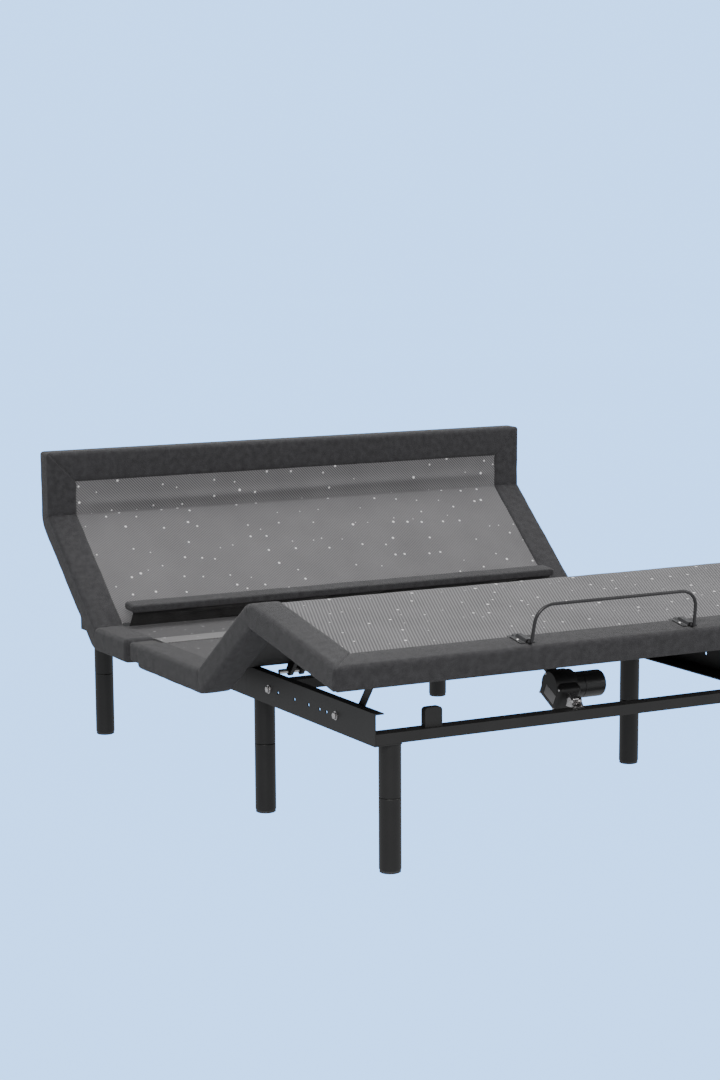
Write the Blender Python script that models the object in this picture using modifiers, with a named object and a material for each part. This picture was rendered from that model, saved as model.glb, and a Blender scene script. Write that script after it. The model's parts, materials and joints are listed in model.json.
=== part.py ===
"""Adjustable bed base: steel side rails on six legs, a five-section upholstered deck, and the
electric drives that raise the back, pillow, lumbar and thigh sections.

Metres, +Z up, the foot of the base toward -Y. The deck is posed raised, and every section is
modelled flat in its own hinge frame: X across, Y along the section, Z out of its top face, with
the origin on the hinge line. Lengths along the base are counted from the middle pair of legs.
"""
from math import acos, atan2, cos, hypot, pi, radians, sin, tan

import bmesh
import bpy
from mathutils import Vector

# Fits
GAP = 0.0003
RUNNING = 0.0005
SIDE_PLAY = 0.001
FOLD_PLAY = 0.002

# Legs and frame
LEG_RADIUS = 0.026
LEG_SEGMENT = 0.1507
LEG_X = 0.5437
LEG_FOOT_Y = -0.6455
LEG_HEAD_Y = 1.0395
SPIGOT_RADIUS = 0.006
STUD_RADIUS = 0.005
STUD_LENGTH = 0.025
GLIDE_ROUND = 0.005
SEAM_CHAMFER = 0.0012

RAIL_X = 0.598
RAIL_HEIGHT = 0.076
RAIL_WALL = 0.003
RAIL_TOP_FLANGE = 0.024
RAIL_BOTTOM_FLANGE = 0.070
RAIL_FOOT_END = -0.675
RAIL_HEAD_END = 1.0695
RAIL_JOINT_Y = -0.012
RAIL_HOLE_RADIUS = 0.0045
RAIL_HOLES_Y = (-0.185, -0.274, -0.347, -0.404, -0.439)

CROSSBAR_HEIGHT = 0.025
CROSSBAR_DEPTH = 0.040
CROSSBAR_WALL = 0.002
HEAD_CROSSBAR_Y = 0.76
POST_X = 0.44
POST_SIZE = (0.045, 0.018, 0.047)
POST_ROUND = 0.008

# Deck sections
DECK_HALF_WIDTH = 0.747
BORDER_WIDTH = 0.084
BORDER_THICKNESS = 0.061
BORDER_ROUND = 0.013
CORNER_ROUND = 0.03
BOARD_THICKNESS = 0.005
BOARD_TO_CROWN = 0.0067
HINGE_DROP = 0.0153
BACK_HINGE_Y = 0.606
THIGH_HINGE_Y = -0.055
BACK_LENGTH = 0.428
PILLOW_LENGTH = 0.184
THIGH_LENGTH = 0.347
CALF_LENGTH = 0.440
REAR_SEAT_LENGTH = 0.198
SEAT_BREAK = 0.065
SEAT_EAR = 0.055

# Angles as posed, and the furthest that each section goes
BACK_ANGLE = 40.0
PILLOW_ANGLE = 50.0
THIGH_ANGLE = 35.9
CALF_ANGLE = 46.2
BACK_LIMIT = 60.0
PILLOW_LIMIT = 55.0
THIGH_LIMIT = 40.0

# Hinge rods, lugs and levers
ROD_RADIUS = 0.006
ROD_HALF_LENGTH = 0.53
LUG_RADIUS = 0.012
LUG_WIDTH = 0.010
LUG_REACH = 0.035
LUG_X = 0.47
ARM_X = 0.50
LUG_SPREAD = 0.30
THIGH_ARM_REACH = 0.11
TORQUE_TUBE_RADIUS = 0.0115
TORQUE_TUBE_END = 0.62
LIFT_ARM_X = 0.45
LIFT_ARM_WIDTH = 0.030
LIFT_ARM_HEIGHT = 0.012
LIFT_ARM_DROP = 0.006
LIFT_ARM_REACH = 0.30
LIFT_PAD_START = 0.13
PIN_RADIUS = 0.005
LEVER_PLATE = 0.005

# Drives
HEAD_DRIVE_X = 0.04
HEAD_DRIVE_Y = 0.045
HEAD_DRIVE_Z = 0.333
HEAD_LEVER = 0.085
HEAD_LEVER_ANGLE = -80.0
HEAD_SLOT = (0.080, 0.1005)
HEAD_SLOT_RADIUS = 0.0095
FOOT_DRIVE_X = -0.04
FOOT_DRIVE_Y = -0.632
FOOT_DRIVE_Z = 0.3435
FOOT_BRACKET = (-0.286, -0.009)
BRACKET_HALF_WIDTH = 0.10
BRACKET_REACH = (0.045, 0.062)
CHEEK_HALF_LENGTH = 0.030
CHEEK_DROP = 0.022
CLEVIS_REACH = (0.018, 0.014)
CLEVIS_BASE = 0.0012
EYE_RIM = 0.004
NARROW_FIT = 0.98
PILLOW_LEVER = 0.055
PILLOW_LEVER_ANGLE = -65.0
PILLOW_SLOT = (0.0475, 0.0585)
PILLOW_SLOT_RADIUS = 0.0085
PILLOW_DRIVE_START = 0.185
PILLOW_TUBE_LENGTH = 0.165
PILLOW_ROD_START = 0.128
PILLOW_GEARBOX = (0.050, 0.070, 0.046)
PILLOW_FOOT = (0.040, 0.010, 0.060)
GEARBOX = (0.060, 0.086, 0.072)
GEARBOX_TOP = 0.020
GEARBOX_START = 0.020
MOTOR_RADIUS = 0.028
MOTOR_DROP = 0.006
MOTOR_LENGTH = 0.095
MOTOR_ROUND = 0.003
TAB_OVERLAP = 0.010
TUBE_OVERLAP = 0.9
TUBE_RADIUS = 0.013
PUSH_ROD_RADIUS = 0.010
EYE_RADIUS = 0.012
EYE_WIDTH = 0.018
FOOT_TUBE_END = 0.250
FOOT_ROD_OVERLAP = 0.022
HEAD_TUBE_END = 0.470
HEAD_ROD_OVERLAP = 0.055

# Calf link
LINK_PIVOT_Y = -0.540
LINK_LENGTH = 0.185
LINK_X = 0.562
LINK_HOLE_RADIUS = 0.0085
LINK_RADIUS = 0.011
LINK_LUG_RIM = 0.005
PIN_OVERHANG = 1.1

# Lumbar support
LUMBAR_HALF_WIDTH = 0.655
LUMBAR_FRONT = (0.009, 0.089)
LUMBAR_DEPTH = 0.060
LUMBAR_THICKNESS = 0.0175
LUMBAR_LEAN = 36.0
LUMBAR_WINDOW = 0.070
LUMBAR_ROD_RADIUS = 0.005
LUMBAR_ROD_Y = 0.035
LUMBAR_RODS_X = (-0.30, 0.0, 0.30)
LUMBAR_ROUND = 0.005
LUMBAR_STRIP = (0.400, 0.008, 0.009)
LUMBAR_GUIDE_TOP = -0.016
LUMBAR_GUIDE = (0.013, 0.012)
LUMBAR_DRIVE = (0.045, 0.012, 0.035, 0.075)
LUMBAR_BORE = 0.066
LUMBAR_BLEND = 0.002
CURTAIN_THICKNESS = 0.003
CURTAIN_FOOT = (0.0035, 0.036)

# Mattress retainer bar
RETAINER_X = -0.02
RETAINER_HALF_WIDTH = 0.224
RETAINER_RADIUS = 0.004
RETAINER_Y = 0.428
RETAINER_RISE = 0.100
RETAINER_BEND = 0.055
RETAINER_FOOT = 0.036
RETAINER_START = 0.018
RETAINER_TURN = 0.012
PLATE_SIZE = (0.040, 0.060, 0.003)

# Control box
CONTROL_SIZE = (0.12, 0.20, 0.034)
CONTROL_CENTRE = (0.30, 0.25)
CONTROL_ROUND = 0.004

# Worked out from the above
RAIL_BOTTOM = 2 * (LEG_SEGMENT + GAP)
RAIL_TOP = RAIL_BOTTOM + RAIL_HEIGHT
BAR_BOTTOM = RAIL_BOTTOM + RAIL_WALL + GAP
BAR_TOP = BAR_BOTTOM + CROSSBAR_HEIGHT
HINGE_Z = RAIL_TOP + GAP - HINGE_DROP
BOARD_LOW = HINGE_DROP
BOARD_HIGH = BOARD_LOW + BOARD_THICKNESS
BORDER_HIGH = BOARD_HIGH + BOARD_TO_CROWN
BORDER_LOW = BORDER_HIGH - BORDER_THICKNESS
BOARD_HALF_WIDTH = DECK_HALF_WIDTH - BORDER_WIDTH
CENTRE_Y = (THIGH_HINGE_Y - THIGH_LENGTH * cos(radians(THIGH_ANGLE))
            - CALF_LENGTH * cos(radians(CALF_ANGLE - THIGH_ANGLE)) + RAIL_HEAD_END) / 2


def fold_gap(height, limit):
    """Half the gap that two sections need at a hinge to close by limit degrees."""
    return height * tan(radians(limit / 2)) + FOLD_PLAY


BACK_GAP = fold_gap(BORDER_HIGH, BACK_LIMIT)
PILLOW_GAP = fold_gap(BORDER_HIGH, PILLOW_LIMIT)
THIGH_GAP = fold_gap(BORDER_HIGH, THIGH_LIMIT)
KNEE_GAP = fold_gap(-BORDER_LOW, THIGH_LIMIT * CALF_ANGLE / THIGH_ANGLE)

for old in list(bpy.data.objects):
    bpy.data.objects.remove(old)

PARTS = bpy.data.collections.new("adjustable_bed_base")
CUTTERS = bpy.data.collections.new("cutters")
bpy.context.scene.collection.children.link(PARTS)
bpy.context.scene.collection.children.link(CUTTERS)


# ---------------------------------------------------------------- materials

def material(name, colour, roughness, metallic=0.0):
    """Return a Principled material."""
    made = bpy.data.materials.new(name)
    made.use_nodes = True
    shader = made.node_tree.nodes["Principled BSDF"]
    shader.inputs["Base Color"].default_value = (*colour, 1.0)
    shader.inputs["Roughness"].default_value = roughness
    shader.inputs["Metallic"].default_value = metallic
    return made


BLACK_STEEL = material("black_powder_coated_steel", (0.018, 0.018, 0.02), 0.45)
BLACK_PLASTIC = material("black_plastic", (0.02, 0.02, 0.022), 0.5)
BRIGHT_STEEL = material("bright_steel", (0.62, 0.63, 0.65), 0.3, 1.0)
BOARD = material("deck_board", (0.16, 0.17, 0.18), 0.85)
UPHOLSTERY = material("charcoal_upholstery", (0.055, 0.06, 0.068), 0.95)
CURTAIN = material("black_curtain", (0.012, 0.012, 0.014), 0.4)
WIRE = material("black_wire", (0.015, 0.015, 0.016), 0.35)


# ---------------------------------------------------------------- shapes

def block(low, high):
    """A box between two corners, as a mesh and where it goes."""
    low = Vector(low)
    high = Vector(high)
    shape = bmesh.new()
    bmesh.ops.create_cube(shape, size=1.0)
    bmesh.ops.scale(shape, vec=high - low, verts=shape.verts)
    return to_mesh(shape), (low + high) / 2, (0.0, 0.0, 0.0)


def bar(start, end, radius, segments=16):
    """A cylinder between two points, as a mesh and where it goes."""
    start = Vector(start)
    end = Vector(end)
    shape = bmesh.new()
    bmesh.ops.create_cone(shape, cap_ends=True, segments=segments, radius1=radius, radius2=radius,
                          depth=(end - start).length)
    turn = (end - start).to_track_quat("Z", "Y").to_euler()
    return to_mesh(shape), (start + end) / 2, tuple(turn)


def cross_bar(low_x, high_x, y, z, radius, segments=16):
    """A cylinder along X."""
    return bar((low_x, y, z), (high_x, y, z), radius, segments)


def to_mesh(shape):
    """Turn a bmesh into a mesh and free it."""
    mesh = bpy.data.meshes.new("shape")
    shape.to_mesh(mesh)
    shape.free()
    return mesh


def outline_mesh(points, thickness):
    """A flat outline in XY, thickened equally along +Z and -Z."""
    curve = bpy.data.curves.new("outline", "CURVE")
    curve.dimensions = "2D"
    curve.fill_mode = "BOTH"
    curve.extrude = thickness / 2
    spline = curve.splines.new("POLY")
    spline.points.add(len(points) - 1)
    for point, (across, along) in zip(spline.points, points):
        point.co = (across, along, 0.0, 1.0)
    spline.use_cyclic_u = True
    return curve_to_mesh(curve)


def curve_to_mesh(curve):
    """Turn a curve into a closed mesh with its caps welded on."""
    holder = bpy.data.objects.new("curve", curve)
    PARTS.objects.link(holder)
    bpy.context.view_layer.update()
    mesh = bpy.data.meshes.new_from_object(holder.evaluated_get(
        bpy.context.evaluated_depsgraph_get()))
    bpy.data.objects.remove(holder)
    bpy.data.curves.remove(curve)
    shape = bmesh.new()
    shape.from_mesh(mesh)
    bmesh.ops.remove_doubles(shape, verts=shape.verts, dist=1e-6)
    bmesh.ops.recalc_face_normals(shape, faces=shape.faces)
    shape.to_mesh(mesh)
    shape.free()
    return mesh


def side_plate(points, x, thickness):
    """An outline in YZ, thickened along X about x."""
    return outline_mesh(points, thickness), (x, 0.0, 0.0), (pi / 2, 0.0, pi / 2)


def arc(centre, radius, start, end, steps):
    """Points along an arc, in radians."""
    return [(centre[0] + radius * cos(start + (end - start) * step / steps),
             centre[1] + radius * sin(start + (end - start) * step / steps))
            for step in range(steps + 1)]


def strap(first, second, first_radius, second_radius, steps=7):
    """The outline round two circles."""
    along = atan2(second[1] - first[1], second[0] - first[0])
    length = hypot(second[0] - first[0], second[1] - first[1])
    lean = acos((first_radius - second_radius) / length)
    return (arc(first, first_radius, along + lean, along + 2 * pi - lean, steps)
            + arc(second, second_radius, along - lean, along + lean, steps))


def polar(radius, degrees):
    """A point at an angle from +Y in the YZ plane."""
    return radius * cos(radians(degrees)), radius * sin(radians(degrees))


# ---------------------------------------------------------------- objects

def frame(name, parent, location, degrees=0.0):
    """A joint frame: an empty turned about X."""
    empty = bpy.data.objects.new(name, None)
    PARTS.objects.link(empty)
    empty.parent = parent
    empty.location = location
    empty.rotation_euler = (radians(degrees), 0.0, 0.0)
    return empty


def solid(name, body, finish, shape):
    """A named piece, riding on a joint frame."""
    mesh, location, rotation = shape
    piece = bpy.data.objects.new(name, mesh)
    PARTS.objects.link(piece)
    piece.parent = body
    piece.location = location
    piece.rotation_euler = rotation
    mesh.materials.append(finish)
    return piece


def combine(piece, operation, shape):
    """Join a shape to a piece, or cut it out, in the frame that the piece rides on."""
    mesh, location, rotation = shape
    helper = bpy.data.objects.new(piece.name + "_tool", mesh)
    CUTTERS.objects.link(helper)
    helper.parent = piece.parent
    helper.location = location
    helper.rotation_euler = rotation
    helper.hide_render = True
    helper.display_type = "WIRE"
    modifier = piece.modifiers.new(operation.title(), "BOOLEAN")
    modifier.operation = operation
    modifier.solver = "EXACT"
    modifier.object = helper


def add(piece, shape):
    """Join a shape to a piece."""
    combine(piece, "UNION", shape)


def cut(piece, shape):
    """Cut a shape out of a piece."""
    combine(piece, "DIFFERENCE", shape)


def round_edges(piece, width, segments=2):
    """Round a piece's sharp edges."""
    modifier = piece.modifiers.new("Round", "BEVEL")
    modifier.width = width
    modifier.segments = segments
    modifier.limit_method = "ANGLE"
    modifier.angle_limit = radians(30)


def turned(name, body, finish, profile, location, steps=16):
    """A turned piece from a profile of radius and height, top to bottom."""
    shape = bmesh.new()
    verts = [shape.verts.new((radius, 0.0, height)) for radius, height in profile]
    for upper, lower in zip(verts, verts[1:]):
        shape.edges.new((upper, lower))
    piece = solid(name, body, finish, (to_mesh(shape), location, (0.0, 0.0, 0.0)))
    screw = piece.modifiers.new("Turn", "SCREW")
    screw.steps = steps
    screw.render_steps = steps
    screw.use_merge_vertices = True
    screw.merge_threshold = 0.00001
    return piece


SIDES = (("left", -1), ("right", 1))

root = frame("root_frame", None, (0.0, -CENTRE_Y, 0.0))
back = frame("back_frame", root, (0.0, BACK_HINGE_Y, HINGE_Z), BACK_ANGLE)
pillow = frame("pillow_frame", back, (0.0, BACK_LENGTH, 0.0), PILLOW_ANGLE)
thigh = frame("thigh_frame", root, (0.0, THIGH_HINGE_Y, HINGE_Z), -THIGH_ANGLE)
calf = frame("calf_frame", thigh, (0.0, -THIGH_LENGTH, 0.0), CALF_ANGLE)


# ---------------------------------------------------------------- legs and frame

def make_legs():
    """Six legs, each of two screwed segments; the upper one's spigot sits in the rail."""
    upper = [(0.0, LEG_SEGMENT + RAIL_WALL - GAP), (SPIGOT_RADIUS - RUNNING, LEG_SEGMENT + RAIL_WALL - GAP),
             (SPIGOT_RADIUS - RUNNING, LEG_SEGMENT), (LEG_RADIUS, LEG_SEGMENT),
             (LEG_RADIUS, SEAM_CHAMFER), (LEG_RADIUS - SEAM_CHAMFER, 0.0),
             (STUD_RADIUS + RUNNING, 0.0), (STUD_RADIUS + RUNNING, STUD_LENGTH + SIDE_PLAY),
             (0.0, STUD_LENGTH + SIDE_PLAY)]
    glide = arc((LEG_RADIUS - GLIDE_ROUND, GLIDE_ROUND), GLIDE_ROUND, 0.0, -pi / 2, 2)
    lower = [(0.0, LEG_SEGMENT + STUD_LENGTH), (STUD_RADIUS, LEG_SEGMENT + STUD_LENGTH),
             (STUD_RADIUS, LEG_SEGMENT), (LEG_RADIUS - SEAM_CHAMFER, LEG_SEGMENT),
             (LEG_RADIUS, LEG_SEGMENT - SEAM_CHAMFER)] + glide + [(0.0, 0.0)]
    rows = (("head", LEG_HEAD_Y), ("middle", 0.0), ("foot", LEG_FOOT_Y))
    for row, y in rows:
        for side, sign in SIDES:
            place = (sign * LEG_X, y, 0.0)
            raised = (sign * LEG_X, y, LEG_SEGMENT + GAP)
            turned(f"leg_lower_{row}_{side}", root, BLACK_PLASTIC, lower, place)
            turned(f"leg_upper_{row}_{side}", root, BLACK_PLASTIC, upper, raised)


def make_rail(name, sign, low_y, high_y, legs_y):
    """One half of a side rail: a channel open toward the middle of the base."""
    outer = sign * RAIL_X
    inner = sign * (RAIL_X - RAIL_WALL)
    low = sign * (RAIL_X - RAIL_BOTTOM_FLANGE)
    high = sign * (RAIL_X - RAIL_TOP_FLANGE)
    profile = [(outer, RAIL_BOTTOM), (low, RAIL_BOTTOM), (low, RAIL_BOTTOM + RAIL_WALL),
               (inner, RAIL_BOTTOM + RAIL_WALL), (inner, RAIL_TOP - RAIL_WALL),
               (high, RAIL_TOP - RAIL_WALL), (high, RAIL_TOP), (outer, RAIL_TOP)]
    shape = (outline_mesh(profile, high_y - low_y), (0.0, (low_y + high_y) / 2, 0.0),
             (pi / 2, 0.0, 0.0))
    rail = solid(name, root, BLACK_STEEL, shape)
    for y in legs_y:
        x = sign * LEG_X
        cut(rail, bar((x, y, RAIL_BOTTOM - RAIL_WALL), (x, y, RAIL_BOTTOM + 2 * RAIL_WALL),
                      SPIGOT_RADIUS))
    return rail


def across_rail(sign, y, z, radius, segments=12):
    """A cylinder through a side rail's web."""
    reach = sorted((sign * (RAIL_X - 2 * RAIL_TOP_FLANGE), sign * (RAIL_X + 2 * RAIL_WALL)))
    return cross_bar(*reach, y, z, radius, segments)


def make_rails():
    """Both side rails, each in a head half and a foot half."""
    for side, sign in SIDES:
        head = make_rail(f"head_rail_{side}", sign, RAIL_JOINT_Y + GAP, RAIL_HEAD_END,
                         (0.0, LEG_HEAD_Y))
        cut(head, across_rail(sign, BACK_HINGE_Y, HINGE_Z, TORQUE_TUBE_RADIUS + SIDE_PLAY, 16))
        foot = make_rail(f"foot_rail_{side}", sign, RAIL_FOOT_END, RAIL_JOINT_Y, (LEG_FOOT_Y,))
        for y in RAIL_HOLES_Y:
            cut(foot, across_rail(sign, y, RAIL_BOTTOM + RAIL_HEIGHT / 2, RAIL_HOLE_RADIUS))
        pin = sorted((sign * (RAIL_X - RAIL_WALL / 2), sign * (LINK_X - LEVER_PLATE)))
        add(foot, cross_bar(*pin, LINK_PIVOT_Y, HINGE_Z, PIN_RADIUS, 12))


def make_crossbar(name, y):
    """A rectangular tube between the rails, standing on their bottom flanges."""
    reach = RAIL_X - RAIL_WALL - GAP
    half = CROSSBAR_DEPTH / 2
    tube = solid(name, root, BLACK_STEEL, block((-reach, y - half, BAR_BOTTOM),
                                                (reach, y + half, BAR_TOP)))
    cut(tube, block((-reach - half, y - half + CROSSBAR_WALL, BAR_BOTTOM + CROSSBAR_WALL),
                    (reach + half, y + half - CROSSBAR_WALL, BAR_TOP - CROSSBAR_WALL)))
    return tube


def make_crossbars():
    """Three crossbars: stop posts on the foot one, and the head drive's ears on the middle one."""
    make_crossbar("head_crossbar", HEAD_CROSSBAR_Y)
    middle = make_crossbar("mid_crossbar", 0.0)
    foot = make_crossbar("foot_crossbar", RAIL_FOOT_END + CROSSBAR_DEPTH / 2)
    width, depth, height = POST_SIZE
    for _, sign in SIDES:
        low = sign * POST_X - width / 2
        post = [(low, 0.0), (low + width, 0.0)]
        post += arc((low + width - POST_ROUND, height - POST_ROUND), POST_ROUND, 0, pi / 2, 3)
        post += arc((low + POST_ROUND, height - POST_ROUND), POST_ROUND, pi / 2, pi, 3)
        add(foot, (outline_mesh(post, depth),
                   (0.0, RAIL_FOOT_END + CROSSBAR_DEPTH / 2, BAR_TOP - CROSSBAR_WALL / 2),
                   (pi / 2, 0.0, 0.0)))
    ear = strap((HEAD_DRIVE_Y, HEAD_DRIVE_Z), (0.0, HEAD_DRIVE_Z), EYE_RADIUS, EYE_RADIUS)
    for _, sign in SIDES:
        offset = EYE_WIDTH / 2 + SIDE_PLAY + LEVER_PLATE / 2
        add(middle, side_plate(ear, HEAD_DRIVE_X + sign * offset, LEVER_PLATE))
    reach = EYE_WIDTH / 2 + SIDE_PLAY + LEVER_PLATE * 0.8
    add(middle, cross_bar(HEAD_DRIVE_X - reach, HEAD_DRIVE_X + reach, HEAD_DRIVE_Y, HEAD_DRIVE_Z,
                          PIN_RADIUS))


# ---------------------------------------------------------------- deck sections

def make_board(name, body, low_y, high_y):
    """The flat board of one section, inside its borders."""
    reach = BOARD_HALF_WIDTH - GAP
    return solid(name, body, BOARD, block((-reach, low_y, BOARD_LOW), (reach, high_y, BOARD_HIGH)))


def make_border(name, body, sign, low_y, high_y):
    """A straight upholstered border along one side of a section."""
    inner, outer = sorted((sign * BOARD_HALF_WIDTH, sign * DECK_HALF_WIDTH))
    piece = solid(name, body, UPHOLSTERY, block((inner, low_y, BORDER_LOW),
                                                (outer, high_y, BORDER_HIGH)))
    round_edges(piece, BORDER_ROUND)


def lug_outline(hinge_y, direction, start, reach):
    """A lug's side: a round nose about the hinge line, and a foot under the board."""
    top = BOARD_LOW + BOARD_THICKNESS / 2
    nose = arc((hinge_y, 0.0), LUG_RADIUS, pi / 2 - direction * pi / 2 + direction * pi * 0.5,
               pi / 2 - direction * pi / 2 + direction * pi * 1.5, 8)
    return nose + [(hinge_y + direction * reach, BOARD_LOW), (hinge_y + direction * reach, top),
                   (hinge_y + direction * start, top)]


def make_lugs(board, hinge_y, direction, gap, reach, x):
    """Four lugs under a board's hinged end, bored for the hinge rod."""
    profile = lug_outline(hinge_y, direction, gap + FOLD_PLAY, reach)
    for place in (-x, LUG_SPREAD - x, x - LUG_SPREAD, x):
        add(board, side_plate(profile, place, LUG_WIDTH))
        cut(board, cross_bar(place - LUG_WIDTH, place + LUG_WIDTH, hinge_y, 0.0,
                             ROD_RADIUS + RUNNING, 12))


def make_rod(name, body, y, low_x=-ROD_HALF_LENGTH, high_x=ROD_HALF_LENGTH):
    """A plain hinge rod on a hinge line."""
    solid(name, body, BRIGHT_STEEL, cross_bar(low_x, high_x, y, 0.0, ROD_RADIUS, 12))


def make_seat():
    """The fixed seat section, with a break in its side borders where the base folds for packing."""
    seat = frame("seat_frame", root, (0.0, THIGH_HINGE_Y, HINGE_Z))
    rear_end = BACK_HINGE_Y - THIGH_HINGE_Y
    board = make_board("seat_board", seat, THIGH_GAP, rear_end - BACK_GAP)
    rear_start = rear_end - BACK_GAP - REAR_SEAT_LENGTH
    front_end = rear_start - SEAT_BREAK
    for side, sign in SIDES:
        make_border(f"rear_seat_border_{side}", seat, sign, rear_start, rear_end - BACK_GAP)
        make_border(f"front_seat_border_{side}", seat, sign, THIGH_GAP, front_end)
        ear = sorted((sign * (BOARD_HALF_WIDTH - SEAT_EAR), sign * (BOARD_HALF_WIDTH + SEAT_EAR)))
        add(board, block((ear[0], front_end + FOLD_PLAY, BOARD_LOW),
                         (ear[1], rear_start - FOLD_PLAY, BOARD_HIGH)))
    make_lugs(board, 0.0, 1, THIGH_GAP, LUG_REACH, LUG_X)
    make_rod("thigh_hinge_rod", seat, 0.0)


def make_thigh():
    """The thigh section: hinged on the seat at one end and to the calf section at the knee."""
    low = -THIGH_LENGTH + KNEE_GAP
    board = make_board("thigh_board", thigh, low, -THIGH_GAP)
    for side, sign in SIDES:
        make_border(f"thigh_border_{side}", thigh, sign, low, -THIGH_GAP)
    make_lugs(board, 0.0, -1, THIGH_GAP, THIGH_ARM_REACH, ARM_X)
    make_lugs(board, -THIGH_LENGTH, 1, KNEE_GAP, LUG_REACH, LUG_X)
    inner = min(LUG_X, ARM_X) - LUG_SPREAD - LUG_WIDTH
    for side, sign in SIDES:
        ends = sorted((sign * inner, sign * ROD_HALF_LENGTH))
        make_rod(f"knee_hinge_rod_{side}", thigh, -THIGH_LENGTH, *ends)
    centre_y, centre_z = FOOT_BRACKET
    back_y = centre_y - BRACKET_REACH[0]
    front_y = centre_y + BRACKET_REACH[1]
    cheek = [(back_y, BOARD_LOW - GAP), (centre_y - CHEEK_HALF_LENGTH, centre_z - CHEEK_DROP),
             (centre_y + CHEEK_HALF_LENGTH, centre_z - CHEEK_DROP), (front_y, BOARD_LOW - GAP)]
    bracket = solid("thigh_lift_bracket", thigh, BLACK_STEEL,
                    block((FOOT_DRIVE_X - BRACKET_HALF_WIDTH, back_y,
                           BOARD_LOW - GAP - LEVER_PLATE / 2),
                          (FOOT_DRIVE_X + BRACKET_HALF_WIDTH, front_y, BOARD_LOW - GAP)))
    offset = EYE_WIDTH / 2 + SIDE_PLAY + LEVER_PLATE / 2
    for _, sign in SIDES:
        add(bracket, side_plate([(y, min(z, BOARD_LOW - 2 * GAP)) for y, z in cheek],
                                FOOT_DRIVE_X + sign * offset, LEVER_PLATE))


def make_calf():
    """The calf section, with a border across the foot end and the links' lugs."""
    board = make_board("calf_board", calf, -CALF_LENGTH + BORDER_WIDTH + GAP, -KNEE_GAP)
    for side, sign in SIDES:
        make_border(f"calf_border_{side}", calf, sign, -CALF_LENGTH + BORDER_WIDTH + GAP, -KNEE_GAP)
    foot = solid("foot_border", calf, UPHOLSTERY,
                 block((-DECK_HALF_WIDTH, -CALF_LENGTH, BORDER_LOW),
                       (DECK_HALF_WIDTH, -CALF_LENGTH + BORDER_WIDTH, BORDER_HIGH)))
    round_edges(foot, BORDER_ROUND)
    make_lugs(board, 0.0, -1, KNEE_GAP, LUG_REACH, ARM_X)
    reach = LINK_PIVOT_Y - THIGH_HINGE_Y - LINK_LENGTH + THIGH_LENGTH
    for _, sign in SIDES:
        x = sign * (LINK_X + LEVER_PLATE + SIDE_PLAY)
        outer = LINK_HOLE_RADIUS + LINK_LUG_RIM
        lug = arc((reach, 0.0), outer, -pi, 0.0, 8)
        top = BOARD_LOW + BOARD_THICKNESS / 2
        lug += [(reach + outer, top), (reach - outer, top)]
        add(board, side_plate(lug, x, LEVER_PLATE))
        cut(board, cross_bar(x - LEVER_PLATE, x + LEVER_PLATE, reach, 0.0, LINK_HOLE_RADIUS))


def make_back():
    """The back section above the lumbar window, its side borders and its hinge rod."""
    top = BACK_LENGTH - PILLOW_GAP
    board = make_board("back_board", back, LUMBAR_WINDOW, top)
    for side, sign in SIDES:
        make_border(f"back_border_{side}", back, sign, BACK_GAP, top)
    make_lugs(board, BACK_LENGTH, -1, PILLOW_GAP, LUG_REACH, LUG_X)
    make_rod("pillow_hinge_rod", back, BACK_LENGTH)


def make_pillow():
    """The pillow section: its board, and a border round three sides of it."""
    board = make_board("pillow_board", pillow, PILLOW_GAP,
                       PILLOW_LENGTH - BORDER_WIDTH - BORDER_ROUND / 3)
    make_lugs(board, 0.0, 1, PILLOW_GAP, LUG_REACH, ARM_X)
    inner = BOARD_HALF_WIDTH
    outer = DECK_HALF_WIDTH
    top = PILLOW_LENGTH
    corner = CORNER_ROUND
    outline = [(-outer, PILLOW_GAP), (-inner, PILLOW_GAP), (-inner, top - BORDER_WIDTH),
               (inner, top - BORDER_WIDTH), (inner, PILLOW_GAP), (outer, PILLOW_GAP)]
    outline += arc((outer - corner, top - corner), corner, 0.0, pi / 2, 4)
    outline += arc((corner - outer, top - corner), corner, pi / 2, pi, 4)
    border = solid("pillow_border", pillow, UPHOLSTERY,
                   (outline_mesh(outline, BORDER_THICKNESS),
                    (0.0, 0.0, (BORDER_LOW + BORDER_HIGH) / 2), (0.0, 0.0, 0.0)))
    round_edges(border, BORDER_ROUND * 0.8)
    low = polar(PILLOW_SLOT[0], PILLOW_LEVER_ANGLE - PILLOW_ANGLE)
    high = polar(PILLOW_SLOT[1], PILLOW_LEVER_ANGLE - PILLOW_ANGLE)
    offset = EYE_WIDTH / 2 + SIDE_PLAY + LEVER_PLATE / 2
    top = BOARD_LOW + BOARD_THICKNESS / 2
    foot = [(PILLOW_GAP + FOLD_PLAY, top), (0.0, LUG_RADIUS), (-LUG_RADIUS, 0.0),
            (LUG_RADIUS, -LUG_RADIUS), (LUG_REACH + LUG_RADIUS, BOARD_LOW),
            (LUG_REACH + LUG_RADIUS, top)]
    for _, sign in SIDES:
        x = sign * offset
        add(board, side_plate(foot, x, LEVER_PLATE))
        add(board, side_plate(strap((0.0, 0.0), high, LUG_RADIUS,
                                    PILLOW_SLOT_RADIUS + EYE_RIM), x, LEVER_PLATE * NARROW_FIT))
        cut(board, side_plate(strap(low, high, PILLOW_SLOT_RADIUS, PILLOW_SLOT_RADIUS - 1e-5), x,
                              2 * LEVER_PLATE))
        cut(board, cross_bar(x - LEVER_PLATE, x + LEVER_PLATE, 0.0, 0.0, ROD_RADIUS + RUNNING, 12))


# ---------------------------------------------------------------- drives

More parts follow.
